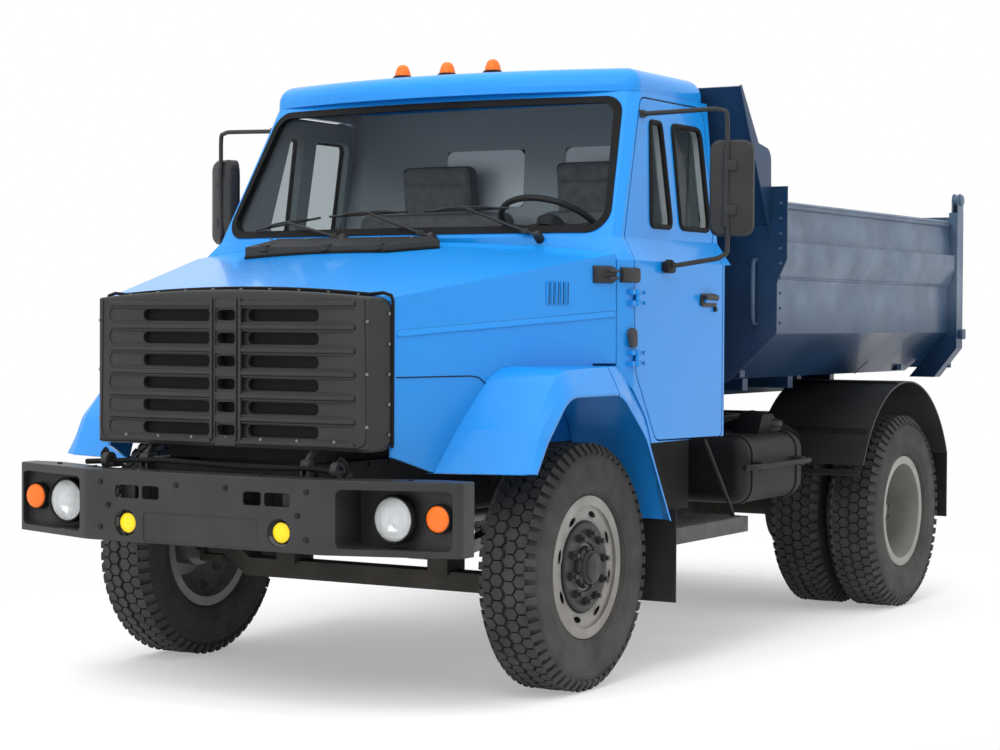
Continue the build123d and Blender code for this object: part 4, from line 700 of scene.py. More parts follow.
def rim_dish(bm, centre, side):
    """Outer face of a front rim's disc: a shallow ring with oval hand holes, each with a rolled edge."""
    rows = [(0.184, 0.078), (0.190, 0.086), (0.200, 0.0905), (0.236, 0.0935), (0.248, 0.0925),
            (0.256, 0.0965), (0.2625, 0.1035)]
    steps = 192
    radii = []
    for (r0, a0), (r1, a1) in zip(rows, rows[1:]):
        parts = max(1, round((r1 - r0) / 0.004))
        radii += [(r0 + (r1 - r0) * k / parts, a0 + (a1 - a0) * k / parts) for k in range(parts)]
    radii.append(rows[-1])

    def spot(radius, angle, along):
        return centre + Vector((side * along, radius * math.sin(angle), radius * math.cos(angle)))

    grid = [[bm.verts.new(spot(r, 2 * math.pi * k / steps, a)) for k in range(steps)] for r, a in radii]
    holes = [2 * math.pi * (k + 0.35) / HAND_HOLES for k in range(HAND_HOLES)]
    for (low, low_row), (high, high_row) in zip(zip(radii, grid), zip(radii[1:], grid[1:])):
        middle = (low[0] + high[0]) / 2
        for k in range(steps):
            angle = 2 * math.pi * (k + 0.5) / steps
            gaps = [(angle - hole + math.pi) % (2 * math.pi) - math.pi for hole in holes]
            near = min(gaps, key=abs)
            rise, along = (middle - HOLE_CIRCLE) / HOLE_RISE, near * HOLE_CIRCLE / HOLE_HALF
            if rise ** 2 + along ** 2 < 1:
                continue
            bm.faces.new((low_row[k], low_row[(k + 1) % steps], high_row[(k + 1) % steps], high_row[k]))
    for hole in holes:
        edge = []
        for k in range(33):
            a = 2 * math.pi * k / 32
            edge.append(spot(HOLE_CIRCLE + HOLE_RISE * math.cos(a),
                             hole + HOLE_HALF * math.sin(a) / HOLE_CIRCLE, 0.090))
        pipe(bm, edge, 0.0042, 8)


def rim_flange(bm, centre, side, along):
    """Rolled edge of a rim at a distance outwards from its centre."""
    rows = ((0, 0.2605), (0.003, 0.284), (0.001, 0.2915), (-0.0035, 0.2918), (-0.004, 0.262))
    lathe(bm, [(along + out, radius) for out, radius in rows], centre, (side, 0, 0), 72, closed=True)


class TIPPER_OT_hubs(bpy.types.Operator):
    """Makes the hub covers, wheel nuts and rim rings"""

    bl_idname = "tipper.hubs"
    bl_label = "Hubs"

    def execute(self, context):
        sizes = context.scene.tipper_sizes
        nut = item_tree("wheel_nut", HEX_SIDES)
        bolt = item_tree("hub_bolt", HEX_SIDES)
        for side, word in SIDES:
            body = "wheel_front_" + word
            centre = at(side * FRONT_HUB_X, 0, HUB_Z)
            bm = bmesh.new()
            lathe(bm, [(0.054, 0.100), (0.070, 0.098), (0.074, 0.092), (0.090, 0.088), (0.108, 0.084),
                       (0.112, 0.072), (0.126, 0.067), (0.128, 0.060), (0.1285, 0.046), (0.1285, 0.0)],
                  centre, (side, 0, 0))
            lathe(bm, [(0.11, 0.0), (0.11, 0.062), (0.128, 0.0615), (0.139, 0.058), (0.144, 0.050),
                       (0.1465, 0.044), (0.1470, 0.026), (0.1495, 0.022), (0.1495, 0.0)], centre,
                  (side, 0, 0), 40)
            piece("hub_front_" + word, bm, body, "black_plastic")
            spread("wheel_nuts_front_" + word, nut,
                   wheel_facings(side * FRONT_HUB_X, 0, FRONT_NUT_CIRCLE, sizes.front_nuts, 0.106, side),
                   body, "black_plastic", sizes.wheel_nut, 0.024)
            spread("wheel_studs_front_" + word, item_tree("stud_front_" + word, ROUND_SIDES),
                   wheel_facings(side * FRONT_HUB_X, 0, FRONT_NUT_CIRCLE, sizes.front_nuts, 0.120, side),
                   body, "black_plastic", sizes.wheel_nut * 0.6, 0.026)
            spread("hub_bolts_front_" + word, bolt,
                   wheel_facings(side * FRONT_HUB_X, 0, 0.080, 8, 0.112, side), body, "black_plastic",
                   0.014, 0.012)
            bm = bmesh.new()
            rim_flange(bm, centre, side, 0.1035)
            lathe(bm, [(0.0565, 0.168), (0.0605, 0.170), (0.0605, 0.131), (0.0565, 0.129)],
                  centre, (side, 0, 0), 56, closed=True)
            rim_dish(bm, centre, side)
            piece("rim_ring_front_" + word, bm, body, "rim_front")
            bm = bmesh.new()
            lathe(bm, [(0.060, 0.184), (0.082, 0.186), (0.094, 0.183), (0.100, 0.176), (0.101, 0.110),
                       (0.096, 0.100), (0.078, 0.094), (0.060, 0.092)], centre, (side, 0, 0), 72,
                  closed=True)
            piece("hub_plate_" + word, bm, body, "black_plastic")

            body = "wheels_rear_" + word
            centre = at(side * REAR_HUB_X, REAR_AXLE, HUB_Z)
            bm = bmesh.new()
            lathe(bm, [(0.013, 0.1195), (0.0185, 0.119), (0.020, 0.097), (0.150, 0.090), (0.1535, 0.086),
                       (0.1600, 0.073), (0.1605, 0.052), (0.155, 0.050), (0.1545, 0.0)], centre,
                  (side, 0, 0))
            piece("hub_rear_" + word, bm, body, "cast")
            spread("wheel_nuts_rear_" + word, nut,
                   wheel_facings(side * REAR_HUB_X, REAR_AXLE, REAR_NUT_CIRCLE, sizes.rear_nuts, 0.020, side),
                   body, "cast", sizes.wheel_nut, 0.036)
            spread("hub_bolts_rear_" + word, bolt,
                   wheel_facings(side * REAR_HUB_X, REAR_AXLE, 0.077, 8, 0.158, side), body, "cast", 0.020,
                   0.012)
            bm = bmesh.new()
            rim_flange(bm, centre, side, 0.2625)
            piece("rim_ring_rear_" + word, bm, body, "rim_rear")
        return {"FINISHED"}


# ---------------------------------------------------------------- bumper, lamps and grille
FRONT = (0, -1, 0)
HEADLAMP = (0.799, -1.031, 0.762)
TURN_LAMP = (0.984, -1.005, 0.770)
FOG_LAMP = (0.374, -1.146, 0.700)


class TIPPER_OT_lamps(bpy.types.Operator):
    """Makes the headlamps, indicators and fog lamps with their rubber rings"""

    bl_idname = "tipper.lamps"
    bl_label = "Front lamps"

    def execute(self, context):
        bm = bmesh.new()
        x, front, z = HEADLAMP
        lathe(bm, [(-0.052, 0.0), (-0.050, 0.035), (-0.034, 0.062), (-0.012, 0.078), (0.001, 0.0835),
                   (0.004, 0.0835), (0.004, 0.0875), (-0.004, 0.0885), (-0.050, 0.060), (-0.054, 0.0)],
              at(x, front + 0.012, z), FRONT, 48)
        mirrored(bm)
        piece("headlamp_bowls", bm, "chassis", "chrome")
        bm = bmesh.new()
        lathe(bm, [(0.000, 0.0835), (0.004, 0.080), (0.0085, 0.064), (0.0115, 0.040), (0.0128, 0.018),
                   (0.0132, 0.0)], at(x, front + 0.006, z), FRONT, 48)
        lathe(bm, [(0.0, 0.0835), (-0.004, 0.083), (-0.004, 0.0)], at(x, front + 0.006, z), FRONT, 48)
        mirrored(bm)
        piece("headlamp_lenses", bm, "chassis", "clear_glass", replaces=("headlamps",))
        bm = bmesh.new()
        lathe(bm, [(-0.010, 0.0), (-0.004, 0.012), (0.004, 0.016), (0.016, 0.016), (0.020, 0.012),
                   (0.021, 0.0)], at(x, front + 0.042, z), FRONT, 24)
        mirrored(bm)
        piece("headlamp_bulbs", bm, "chassis", "chrome")
        bm = bmesh.new()
        for (x, front, z), inner, outer in ((HEADLAMP, 0.0845, 0.0935), (TURN_LAMP, 0.0495, 0.0565),
                                            (FOG_LAMP, 0.040, 0.0455)):
            floor = front + 0.975 if front > -1.1 else -0.03
            lathe(bm, [(floor, inner * 0.7), (floor, inner * 0.85), (-0.026, outer - 0.001),
                       (-0.002, outer), (0.004, outer - 0.003), (0.005, inner + 0.002),
                       (0.001, inner - 0.001), (-0.008, inner - 0.001)], at(x, front, z), FRONT, 48,
                  closed=True)
        mirrored(bm)
        piece("lamp_rings", bm, "chassis", "rubber")
        for name, slot, (x, front, z), radius, dome, node in (
                ("indicators", "amber", TURN_LAMP, 0.050, 0.016, "turn_lamps"),
                ("fog_lamp_lenses", "yellow", FOG_LAMP, 0.040, 0.007, "fog_lamps")):
            bm = bmesh.new()
            rows = [(-0.020, 0.0), (-0.020, radius)]
            rows += [(dome * math.cos(a) ** 0.8, radius * math.sin(a))
                     for a in (math.radians(90 - 11.25 * k) for k in range(8))]
            lathe(bm, rows + [(dome, 0.0)], at(x, front, z), FRONT, 40)
            mirrored(bm)
            piece(name, bm, "chassis", slot, replaces=(node,))
        return {"FINISHED"}


GRILLE_TOP = 1.567
GRILLE_PITCH = 0.09
GRILLE_ROWS = 7
GRILLE_FACE = -1.005
GRILLE_BOW = 0.018
GRILLE_HALF = 0.662


def grille_face(x):
    """Distance behind the axle of the bowed grille's face."""
    return GRILLE_FACE + GRILLE_BOW * (x / GRILLE_HALF) ** 2


class TIPPER_OT_grille(bpy.types.Operator):
    """Makes the grille's backing, bars, centre column, edge bead, seam and screws"""

    bl_idname = "tipper.grille_details"
    bl_label = "Grille details"

    def execute(self, context):
        bm = bmesh.new()
        block(bm, (-0.50, -0.9620, 1.040), (0.50, -0.9600, 1.575))
        piece("grille_backing", bm, "hood", "rubber")
        bm = bmesh.new()
        for row in range(GRILLE_ROWS):
            z = GRILLE_TOP - GRILLE_PITCH * row
            for low_x, high_x in ((-0.60, -0.075), (0.075, 0.60)):
                rings = []
                for x, in between((low_x,), (high_x,), 8):
                    face = grille_face(x)
                    rings.append([at(x, face - 0.0005, z - 0.012), at(x, face - 0.007, z - 0.006),
                                  at(x, face - 0.007, z + 0.006), at(x, face - 0.0005, z + 0.012),
                                  at(x, face + 0.01, z)])
                loft(bm, rings)
        piece("grille_bars", bm, "hood", "black_plastic", bevel=0.0015)
        bm = bmesh.new()
        for x, half in ((-0.070, 0.006), (0.070, 0.006), (-0.052, 0.003), (0.052, 0.003)):
            block(bm, (x - half, -1.0125, 1.035), (x + half, -0.998, 1.588))
        for row in range(GRILLE_ROWS):
            z = GRILLE_TOP - GRILLE_PITCH * row
            block(bm, (-0.05, -1.0100, z - 0.017), (0.05, -0.998, z + 0.017))
        piece("grille_column", bm, "hood", "black_plastic", bevel=0.002)
        bm = bmesh.new()
        outline = [(-0.640, 1.585), (-0.648, 1.060), (-0.640, 1.035), (-0.615, 1.022), (0.615, 1.022),
                   (0.640, 1.035), (0.648, 1.060), (0.640, 1.585)]
        for (x0, z0), (x1, z1) in zip(outline, outline[1:]):
            steps = 10 if abs(x1 - x0) > 0.5 else 1
            path = between((x0, z0), (x1, z1), steps)
            pipe(bm, [at(x, grille_face(x) - 0.001, z) for x, z in path], 0.0045, 8)
        piece("grille_edge_bead", bm, "hood", "black_plastic")
        screw = item_tree("grille_screw", ROUND_SIDES)
        places = []
        for k in range(9):
            x = -0.56 + 0.14 * k
            places.append((at(x, -0.9085, 1.6255 - 0.034 * (x / 0.7) ** 2), Vector((0, -0.2, 1))))
        for side in (-1, 1):
            for k in range(5):
                places.append((at(side * 0.697, -0.903, 1.07 + 0.115 * k), Vector((side, -0.2, 0))))
            for k in range(3):
                places.append((at(side * 0.655, grille_face(0.655) - 0.001, 1.10 + 0.2 * k),
                               Vector((side * 0.3, -1, 0))))
        for k in range(7):
            x = -0.51 + 0.17 * k
            places.append((at(x, grille_face(x) - 0.001, 1.040), Vector((0, -1, 0))))
        spread("grille_screws", screw, places, "hood", "steel", 0.013, 0.006)
        bm = bmesh.new()
        left = [(-0.701, 1.02), *[(-0.703, 1.04 + 0.09 * k) for k in range(7)], (-0.695, 1.600),
                (-0.66, 1.610)]
        top = [(x, 1.6295 - 0.034 * (x / 0.7) ** 2) for x in (-0.6 + 0.1 * k for k in range(13))]
        right = [(-x, z) for x, z in reversed(left)]
        pipe(bm, [at(x, -0.8865, z) for x, z in left + top + right], 0.007, 8)
        piece("grille_seam", bm, "hood", "rubber")
        return {"FINISHED"}


class TIPPER_OT_bumper(bpy.types.Operator):
    """Makes the bumper's plate panel, window backs, bolts and hose"""

    bl_idname = "tipper.bumper_details"
    bl_label = "Bumper details"

    def execute(self, context):
        bm = bmesh.new()
        cross_prism(bm, [(-0.272, 0.640), (0.272, 0.640), (0.272, 0.740), (-0.272, 0.740)], -1.1625, 0.003)
        piece("plate_panel", bm, "chassis", "black_plastic", bevel=0.001)
        bm = bmesh.new()
        for side in (-1, 1):
            for low, high in ((0.20, 0.295), (0.302, 0.43)):
                side_block(bm, side, (low, -1.100, 0.790), (high, -1.098, 0.860))
        piece("window_backs", bm, "chassis", "rubber")
        places = []
        for side in (-1, 1):
            for x, z in ((0.50, 0.86), (0.50, 0.68), (0.12, 0.86), (0.46, 0.77)):
                places.append((at(side * x, -1.166, z), Vector((0, -1, 0))))
            for x, behind in ((0.40, -1.08), (0.40, -1.02), (0.62, -1.06), (0.86, -1.0), (0.25, -1.12)):
                places.append((at(side * x, behind, 0.909), Vector((0, 0, 1))))
        spread("bumper_bolts", item_tree("bumper_bolt", HEX_SIDES), places, "chassis", "chassis_black",
               0.022, 0.010)
        bm = bmesh.new()
        for side in (-1, 1):
            pipe(bm, rounded(flank(side, [(0.56, -1.045, 0.962), (0.575, -1.045, 0.985),
                                          (0.60, -1.04, 0.962), (0.60, -1.035, 0.925)])), 0.007, 8)
        pipe(bm, rounded([at(-0.69, -1.03, 0.925), at(-0.60, -1.02, 0.930), at(-0.3, -1.03, 0.945),
                          at(0.1, -1.02, 0.930), at(0.45, -1.025, 0.938), at(0.58, -1.02, 0.915)]), 0.011,
             10)
        piece("bumper_hose", bm, "chassis", "rubber")
        return {"FINISHED"}


# ---------------------------------------------------------------- hood
HOOD_FRONT = -0.885
HOOD_LENGTH = 1.085
LOUVRES = [-0.156 + 0.024 * k for k in range(5)]


def hood_side(behind):
    """Half width of the hood's side plane."""
    return 0.7055 + 0.3548 * (behind - HOOD_FRONT)


def hood_top(x, behind):
    """Height of the hood's crowned top."""
    share = (behind - HOOD_FRONT) / HOOD_LENGTH
    middle = 1.626 + 0.226 * share
    edge = 1.590 + 0.194 * share
    return middle - (middle - edge) * (x / hood_side(behind)) ** 2


class TIPPER_OT_hood(bpy.types.Operator):
    """Makes the hood's crease, louvres, latches, side repeaters, seams and the air scoop's fittings"""

    bl_idname = "tipper.hood_details"
    bl_label = "Hood details"

    def execute(self, context):
        bm = bmesh.new()
        for side in (-1, 1):
            rings = []
            for k in range(12):
                behind = -0.870 + 1.062 * k / 11
                z = 1.442 + 0.081 * k / 11
                x = hood_side(behind)
                rings.append(flank(side, [(x + 0.0002, behind, z + 0.026), (x + 0.0050, behind, z + 0.004),
                                          (x + 0.0050, behind, z), (x + 0.0002, behind, z - 0.002),
                                          (x - 0.003, behind, z + 0.01)]))
            loft(bm, rings)
        piece("hood_crease", bm, "hood", "cab_paint")
        bm = bmesh.new()
        for side in (-1, 1):
            for behind in LOUVRES:
                x = hood_side(behind)
                rings = []
                for z, fat in ((1.566, 0.2), (1.575, 1), (1.659, 1), (1.668, 0.2)):
                    rings.append(flank(side, [(x - 0.002, behind - 0.006 * fat, z),
                                              (x + 0.006 * fat, behind, z),
                                              (x - 0.002, behind + 0.004 * fat, z)]))
                loft(bm, rings)
        piece("hood_louvres", bm, "hood", "cab_paint")
        bm = bmesh.new()
        for side in (-1, 1):
            for louvre in LOUVRES:
                behind = louvre + 0.0075
                x = hood_side(behind)
                side_block(bm, side, (x, behind - 0.004, 1.572), (x + 0.0012, behind + 0.003, 1.662))
        piece("louvre_slots", bm, "hood", "rubber")
        for side, word in SIDES:
            bm = bmesh.new()
            x0, x1 = hood_side(0.085), hood_side(0.178)
            rings = []
            for behind, x, grow in ((0.078, x0 - 0.002, 0.6), (0.088, x0, 1), (0.178, x1, 1)):
                rings.append(flank(side, [(x - 0.01, behind, 1.658), (x + 0.014 * grow, behind, 1.666),
                                          (x + 0.022 * grow, behind, 1.684),
                                          (x + 0.022 * grow, behind, 1.708),
                                          (x + 0.014 * grow, behind, 1.728), (x - 0.01, behind, 1.736)]))
            loft(bm, rings)
            for z in (1.682, 1.712):
                pipe(bm, flank(side, [(x1 + 0.024, 0.105, z), (x1 + 0.026, 0.185, z)]), 0.006, 10)
            piece("hood_latch_" + word, bm, "hood", "black_plastic", bevel=0.003)
            bm = bmesh.new()
            rings = []
            for behind, grow in ((0.222, 0.9), (0.236, 1), (0.318, 1), (0.336, 0.7)):
                x = 1.1205 if behind > 0.29 else 1.092 + 0.31 * (behind - 0.205)
                rings.append(flank(side, [(x - 0.004, behind, 1.664), (x + 0.016 * grow, behind, 1.670),
                                          (x + 0.020 * grow, behind, 1.696),
                                          (x + 0.016 * grow, behind, 1.724), (x - 0.004, behind, 1.730)]))
            loft(bm, rings)
            piece("latch_keeper_" + word, bm, "chassis", "black_plastic", bevel=0.003)
            bm = bmesh.new()
            lathe(bm, [(-0.01, 0.024), (0.010, 0.024), (0.018, 0.020), (0.022, 0.010), (0.023, 0.0)],
                  at(side * 1.118, 0.285, 1.453), (side, 0, 0), 24)
            rounded_box(bm, at(side * 1.127, 0.285, 1.432), (0.05, 0.02, 0.07), math.radians(90), 0.012)
            piece("side_repeater_" + word, bm, "chassis", "trim", bevel=0.001)
        bm = bmesh.new()
        seam = ((-0.872, 1.287), (-0.70, 1.288), (-0.527, 1.289), (-0.49, 1.283), (-0.462, 1.262),
                (-0.449, 1.249))
        for side in (-1, 1):
            pipe(bm, [at(side * (hood_side(b) + 0.0005), b, z) for b, z in seam], 0.0022, 6)
        piece("wing_seam", bm, "hood", "rubber")
        bm = bmesh.new()
        scoop_front = [(-0.600, -0.090), (0.145, -0.090), (0.335, 0.030)]
        for start, end in zip(scoop_front, scoop_front[1:]):
            pipe(bm, [at(x, b, hood_top(x, b) + 0.004) for x, b in between(start, end, 8)], 0.008, 8)
        piece("scoop_gasket", bm, "hood", "rubber")
        bm = bmesh.new()
        for x in (-0.50, -0.17, 0.10):
            block(bm, (x - 0.02, -0.094, 1.785), (x + 0.02, -0.06, 1.828 + 0.003))
            pipe(bm, [at(x - 0.014, -0.096, 1.806), at(x + 0.014, -0.096, 1.806)], 0.006, 8)
        piece("scoop_clips", bm, "hood", "black_plastic", bevel=0.002)
        places = [(at(x, 0.02, 1.826 + 0.046 * (0.02 + 0.09) / 0.238 + 0.012), Vector((0, -0.2, 1)))
                  for x in (-0.54, -0.35, -0.16, 0.03, 0.20)]
        spread("scoop_bolts", item_tree("scoop_bolt", ROUND_SIDES), places, "hood", "steel", 0.014, 0.006)
        return {"FINISHED"}


# ---------------------------------------------------------------- cab
SCREEN_HEIGHT = 0.64
MIRROR_SIZE = (0.190, 0.056, 0.410)
MIRROR_PLACE = (1.358, 0.745, 2.076)
MIRROR_TURN = math.atan2(0.399, 0.917)
STEERING_WHEEL = (0.5, 0.690, 1.930)
STEERING_RADIUS = 0.225
ROOF_LAMPS = ((-0.24, 0.62, 2.604), (0.0, 0.62, 2.604), (0.24, 0.62, 2.604))
# each wiper's pivot across the cab, and its blade's two ends as (x, z)
WIPERS = ((-0.256, (-0.800, 1.914), (-0.430, 1.962)), (0.207, (-0.376, 1.966), (0.040, 1.980)),
          (0.708, (0.129, 1.980), (0.535, 1.988)))
WIPER_PIVOT_Z = 1.866


def cab_side(z):
    """Half width of the cab's outside at a height."""
    return min(CAB_HALF, max(WAIST_HALF + 0.75 * (WAIST - z), WAIST_HALF - 0.125 * (z - WAIST)))


def screen(x, z):
    """Distance behind the axle of the windscreen's outside."""
    share = (z - WAIST) / SCREEN_HEIGHT
    middle = 0.184 + 0.316 * share
    pillar = 0.287 + 0.325 * share
    return middle + (pillar - middle) * (x / (1.022 - 0.097 * share)) ** 2


def closed_run(corners, share=0.2):
    """Closed run of places with softened corners."""
    corners = [Vector(c) for c in corners]
    middle = corners[0].lerp(corners[-1], 0.5)
    return rounded([middle] + corners + [middle], share, 4)


class TIPPER_OT_mirrors(bpy.types.Operator):
    """Makes the two door mirrors: case, glass, arms, clamps and foot"""

    bl_idname = "tipper.mirrors"
    bl_label = "Mirrors"

    def execute(self, context):
        for side, word in SIDES:
            turn = side * MIRROR_TURN
            centre = flank(side, [MIRROR_PLACE])[0]
            bm = bmesh.new()
            rounded_box(bm, centre, MIRROR_SIZE, turn, 0.045, 5, 0.006)
            piece("mirror_case_" + word, bm, "door_" + word, "black_plastic", replaces=("mirror_" + word,),
                  angle=25)
            spin = Matrix.Rotation(turn, 3, "Z")
            bm = bmesh.new()
            rounded_box(bm, centre + spin @ Vector((0, 0.0285, 0)), (0.168, 0.003, 0.386), turn, 0.036, 5)
            piece("mirror_glass_" + word, bm, "door_" + word, "chrome")
            bm = bmesh.new()
            outline = [centre + spin @ Vector((x, 0.028, z)) for x, z in
                       ((-0.09, -0.2), (0.09, -0.2), (0.09, 0.2), (-0.09, 0.2))]
            pipe(bm, closed_run(outline, 0.2), 0.005, 8)
            piece("mirror_edge_" + word, bm, "door_" + word, "rubber")
            bm = bmesh.new()
            run = flank(side, [(0.976, 0.640, 2.400), (1.30, 0.690, 2.412), (1.352, 0.705, 2.40),
                               (1.354, 0.712, 1.80), (1.32, 0.695, 1.775), (1.128, 0.590, 1.738)])
            pipe(bm, rounded(run, 0.14, 4), 0.0105, 12)
            block(bm, (side * 0.974, 0.618, 2.385), (side * 0.990, 0.662, 2.415))
            for z in (2.17, 1.98):
                clamp = centre + spin @ Vector((-0.005, -0.036, z - MIRROR_PLACE[2]))
                rounded_box(bm, clamp, (0.05, 0.026, 0.045), turn, 0.01)
            pipe(bm, flank(side, [(1.352, 0.700, 2.24), (1.345, 0.704, 1.91)]), 0.013, 12)
            piece("mirror_arm_" + word, bm, "door_" + word, "black_plastic")
            bm = bmesh.new()
            rounded_box(bm, at(side * 1.138, 0.588, 1.737), (0.034, 0.075, 0.052), 0, 0.012)
            lathe(bm, [(-0.02, 0.0), (-0.02, 0.017), (0.02, 0.017), (0.024, 0.012), (0.024, 0.0)],
                  at(side * 1.140, 0.588, 1.745), (0, 0, 1), 20)
            piece("mirror_foot_" + word, bm, "door_" + word, "chassis_black", bevel=0.002)
        return {"FINISHED"}


# the sewn channels in a cushion's top
CHANNEL_DEPTH = 0.014
CHANNEL_WIDTH = 0.011


def cushion(name, centre, size, lean, channels, swell):
    """Stuffed pad: soft corners, a crowned top with sewn channels across or along it, and a piped edge."""
    bm = bmesh.new()
    bmesh.ops.create_cube(bm, size=2.0)
    bmesh.ops.subdivide_edges(bm, edges=bm.edges[:], cuts=26, use_grid_fill=True)
    half = Vector(size) / 2
    radius = min(half) * 0.72
    inner = half - Vector((radius, radius, radius))
    spin = Matrix.Rotation(lean, 3, "X")
    for vert in bm.verts:
        local = Vector([vert.co[i] * half[i] for i in range(3)])
        core = Vector([max(-inner[i], min(inner[i], local[i])) for i in range(3)])
        out = local - core
        if out.length > 1e-9:
            local = core + out.normalized() * min(out.length, radius)
        if local.z > 0:
            u, v = local.x / half.x, local.y / half.y
            local.z += swell * (1 - u * u) * (1 - v * v)
            for axis, place in channels:
                gap = local[axis] - place * half[axis]
                dip = CHANNEL_DEPTH * math.exp(-(gap / CHANNEL_WIDTH) ** 2)
                local.z -= dip * (1 - u ** 6) * (1 - v ** 6)
        vert.co = centre + spin @ local
    pad = piece(name, bm, "chassis", "seat_cloth", angle=60)
    bm = bmesh.new()
    edge = [centre + spin @ Vector((x * half.x * 0.985, y * half.y * 0.985, half.z - radius * 0.75))
            for x, y in ((-1, -1), (1, -1), (1, 1), (-1, 1))]
    pipe(bm, closed_run(edge, 0.13), 0.005, 6)
    piece(name + "_piping", bm, "chassis", "trim")


class TIPPER_OT_seats(bpy.types.Operator):
    """Makes the driver's seat and the bench with padded cushions, backs and headrests"""

    bl_idname = "tipper.seats"
    bl_label = "Seats"

    def execute(self, context):
        for word, x, half in (("driver", 0.5, 0.26), ("bench", -0.35, 0.42)):
            bm = bmesh.new()
            side_prism(bm, [(0.70, 1.022), (1.13, 1.022), (1.15, 1.25), (0.68, 1.25)], x - half + 0.03,
                       x + half - 0.03)
            for place in (-0.5, 0.5):
                pipe(bm, [at(x + place * 0.16, 1.150, 1.94), at(x + place * 0.16, 1.158, 2.12)], 0.008, 10)
            piece(word + "_seat_base", bm, "chassis", "trim", replaces=("seats",), bevel=0.006)
            across = [(0, p) for p in ((-0.5, 0.5) if half < 0.3 else (-0.66, 0.0, 0.66))]
            cushion(word + "_cushion", at(x, 0.890, 1.340), (half * 2, 0.46, 0.18), math.radians(5),
                    across + [(1, -0.35), (1, 0.35)], 0.018)
            cushion(word + "_back", at(x, 1.115, 1.715), (half * 2 - 0.01, 0.60, 0.13), math.radians(97),
                    across + [(1, -0.4), (1, 0.1), (1, 0.55)], 0.012)
            cushion(word + "_headrest", at(x, 1.130, 2.105), (0.38, 0.27, 0.11), math.radians(97),
                    [(1, 0.3)], 0.012)
        return {"FINISHED"}


class TIPPER_OT_dashboard(bpy.types.Operator):
    """Makes the dashboard with its instruments, the steering wheel with its column, and the gear lever"""

    bl_idname = "tipper.dashboard"
    bl_label = "Dashboard"

    def execute(self, context):
        bm = bmesh.new()
        side_prism(bm, [(0.262, 1.500), (0.262, 1.742), (0.36, 1.752), (0.49, 1.748), (0.555, 1.700),
                        (0.558, 1.64), (0.530, 1.56), (0.500, 1.500)], -1.030, 1.030)
        side_prism(bm, [(0.36, 1.745), (0.40, 1.792), (0.52, 1.800), (0.574, 1.770), (0.560, 1.700),
                        (0.555, 1.62), (0.50, 1.60)], 0.26, 0.76)
        side_prism(bm, [(0.535, 1.57), (0.565, 1.58), (0.568, 1.68), (0.552, 1.69)], -0.86, -0.40)
        for x in (-0.2, 0.0, 0.16, -0.98, 0.92):
            side_prism(bm, [(0.545, 1.655), (0.566, 1.658), (0.563, 1.700), (0.548, 1.702)], x - 0.055,
                       x + 0.055)
        piece("dashboard_moulding", bm, "chassis", "trim", replaces=("dashboard",), bevel=0.008)
        bm = bmesh.new()
        for x, radius in ((0.36, 0.042), (0.46, 0.06), (0.60, 0.06), (0.70, 0.042)):
            lathe(bm, [(0.0, 0.0), (0.0, radius - 0.008), (0.004, radius - 0.006), (0.008, radius - 0.002),
                       (0.004, radius), (-0.01, radius)], at(x, 0.566, 1.725), (0, 1, 0.12), 32)
        piece("gauges", bm, "chassis", "chrome")
        bm = bmesh.new()
        centre = at(*STEERING_WHEEL)
        axis = Vector((0, 0.5, 0.86)).normalized()
        across = Vector((1, 0, 0))
        down = axis.cross(across).normalized()
        for turn in (0, 180):
            spoke = (across * math.cos(math.radians(turn)) + down * math.sin(math.radians(turn)))
            pipe(bm, [centre + axis * 0.012, centre + spoke * 0.12 - axis * 0.012, centre + spoke * 0.226],
                 0.012, 10)
        lathe(bm, [(-0.03, 0.0), (-0.03, 0.060), (0.012, 0.066), (0.030, 0.050), (0.036, 0.0)], centre,
              axis, 32)
        rim = [centre + (across * math.cos(a) + down * math.sin(a)) * STEERING_RADIUS
               for a in (2 * math.pi * k / 64 for k in range(65))]
        pipe(bm, rim, 0.0145, 12)
        pipe(bm, [centre - axis * 0.03, at(0.5, 0.56, 1.70)], 0.026, 16)
        piece("wheel_and_column", bm, "chassis", "black_plastic", replaces=("steering_wheel",))
        bm = bmesh.new()
        pipe(bm, rounded([at(0.13, 0.70, 1.03), at(0.12, 0.70, 1.30), at(0.16, 0.76, 1.62)]), 0.009, 10)
        lathe(bm, [(-0.03, 0.0), (-0.028, 0.018), (0.0, 0.028), (0.024, 0.022), (0.032, 0.0)],
              at(0.16, 0.765, 1.645), (0.1, 0.3, 1), 20)
        lathe(bm, [(0.0, 0.0), (0.0, 0.09), (0.03, 0.06), (0.07, 0.03), (0.10, 0.012)],
              at(0.13, 0.70, 1.02), (0, 0, 1), 24)
        piece("gear_lever", bm, "chassis", "black_plastic")
        return {"FINISHED"}


REAR_WINDOWS = ((-0.395, 0.040), (0.262, 0.697))
REAR_WINDOW_HEIGHTS = (2.050, 2.322)


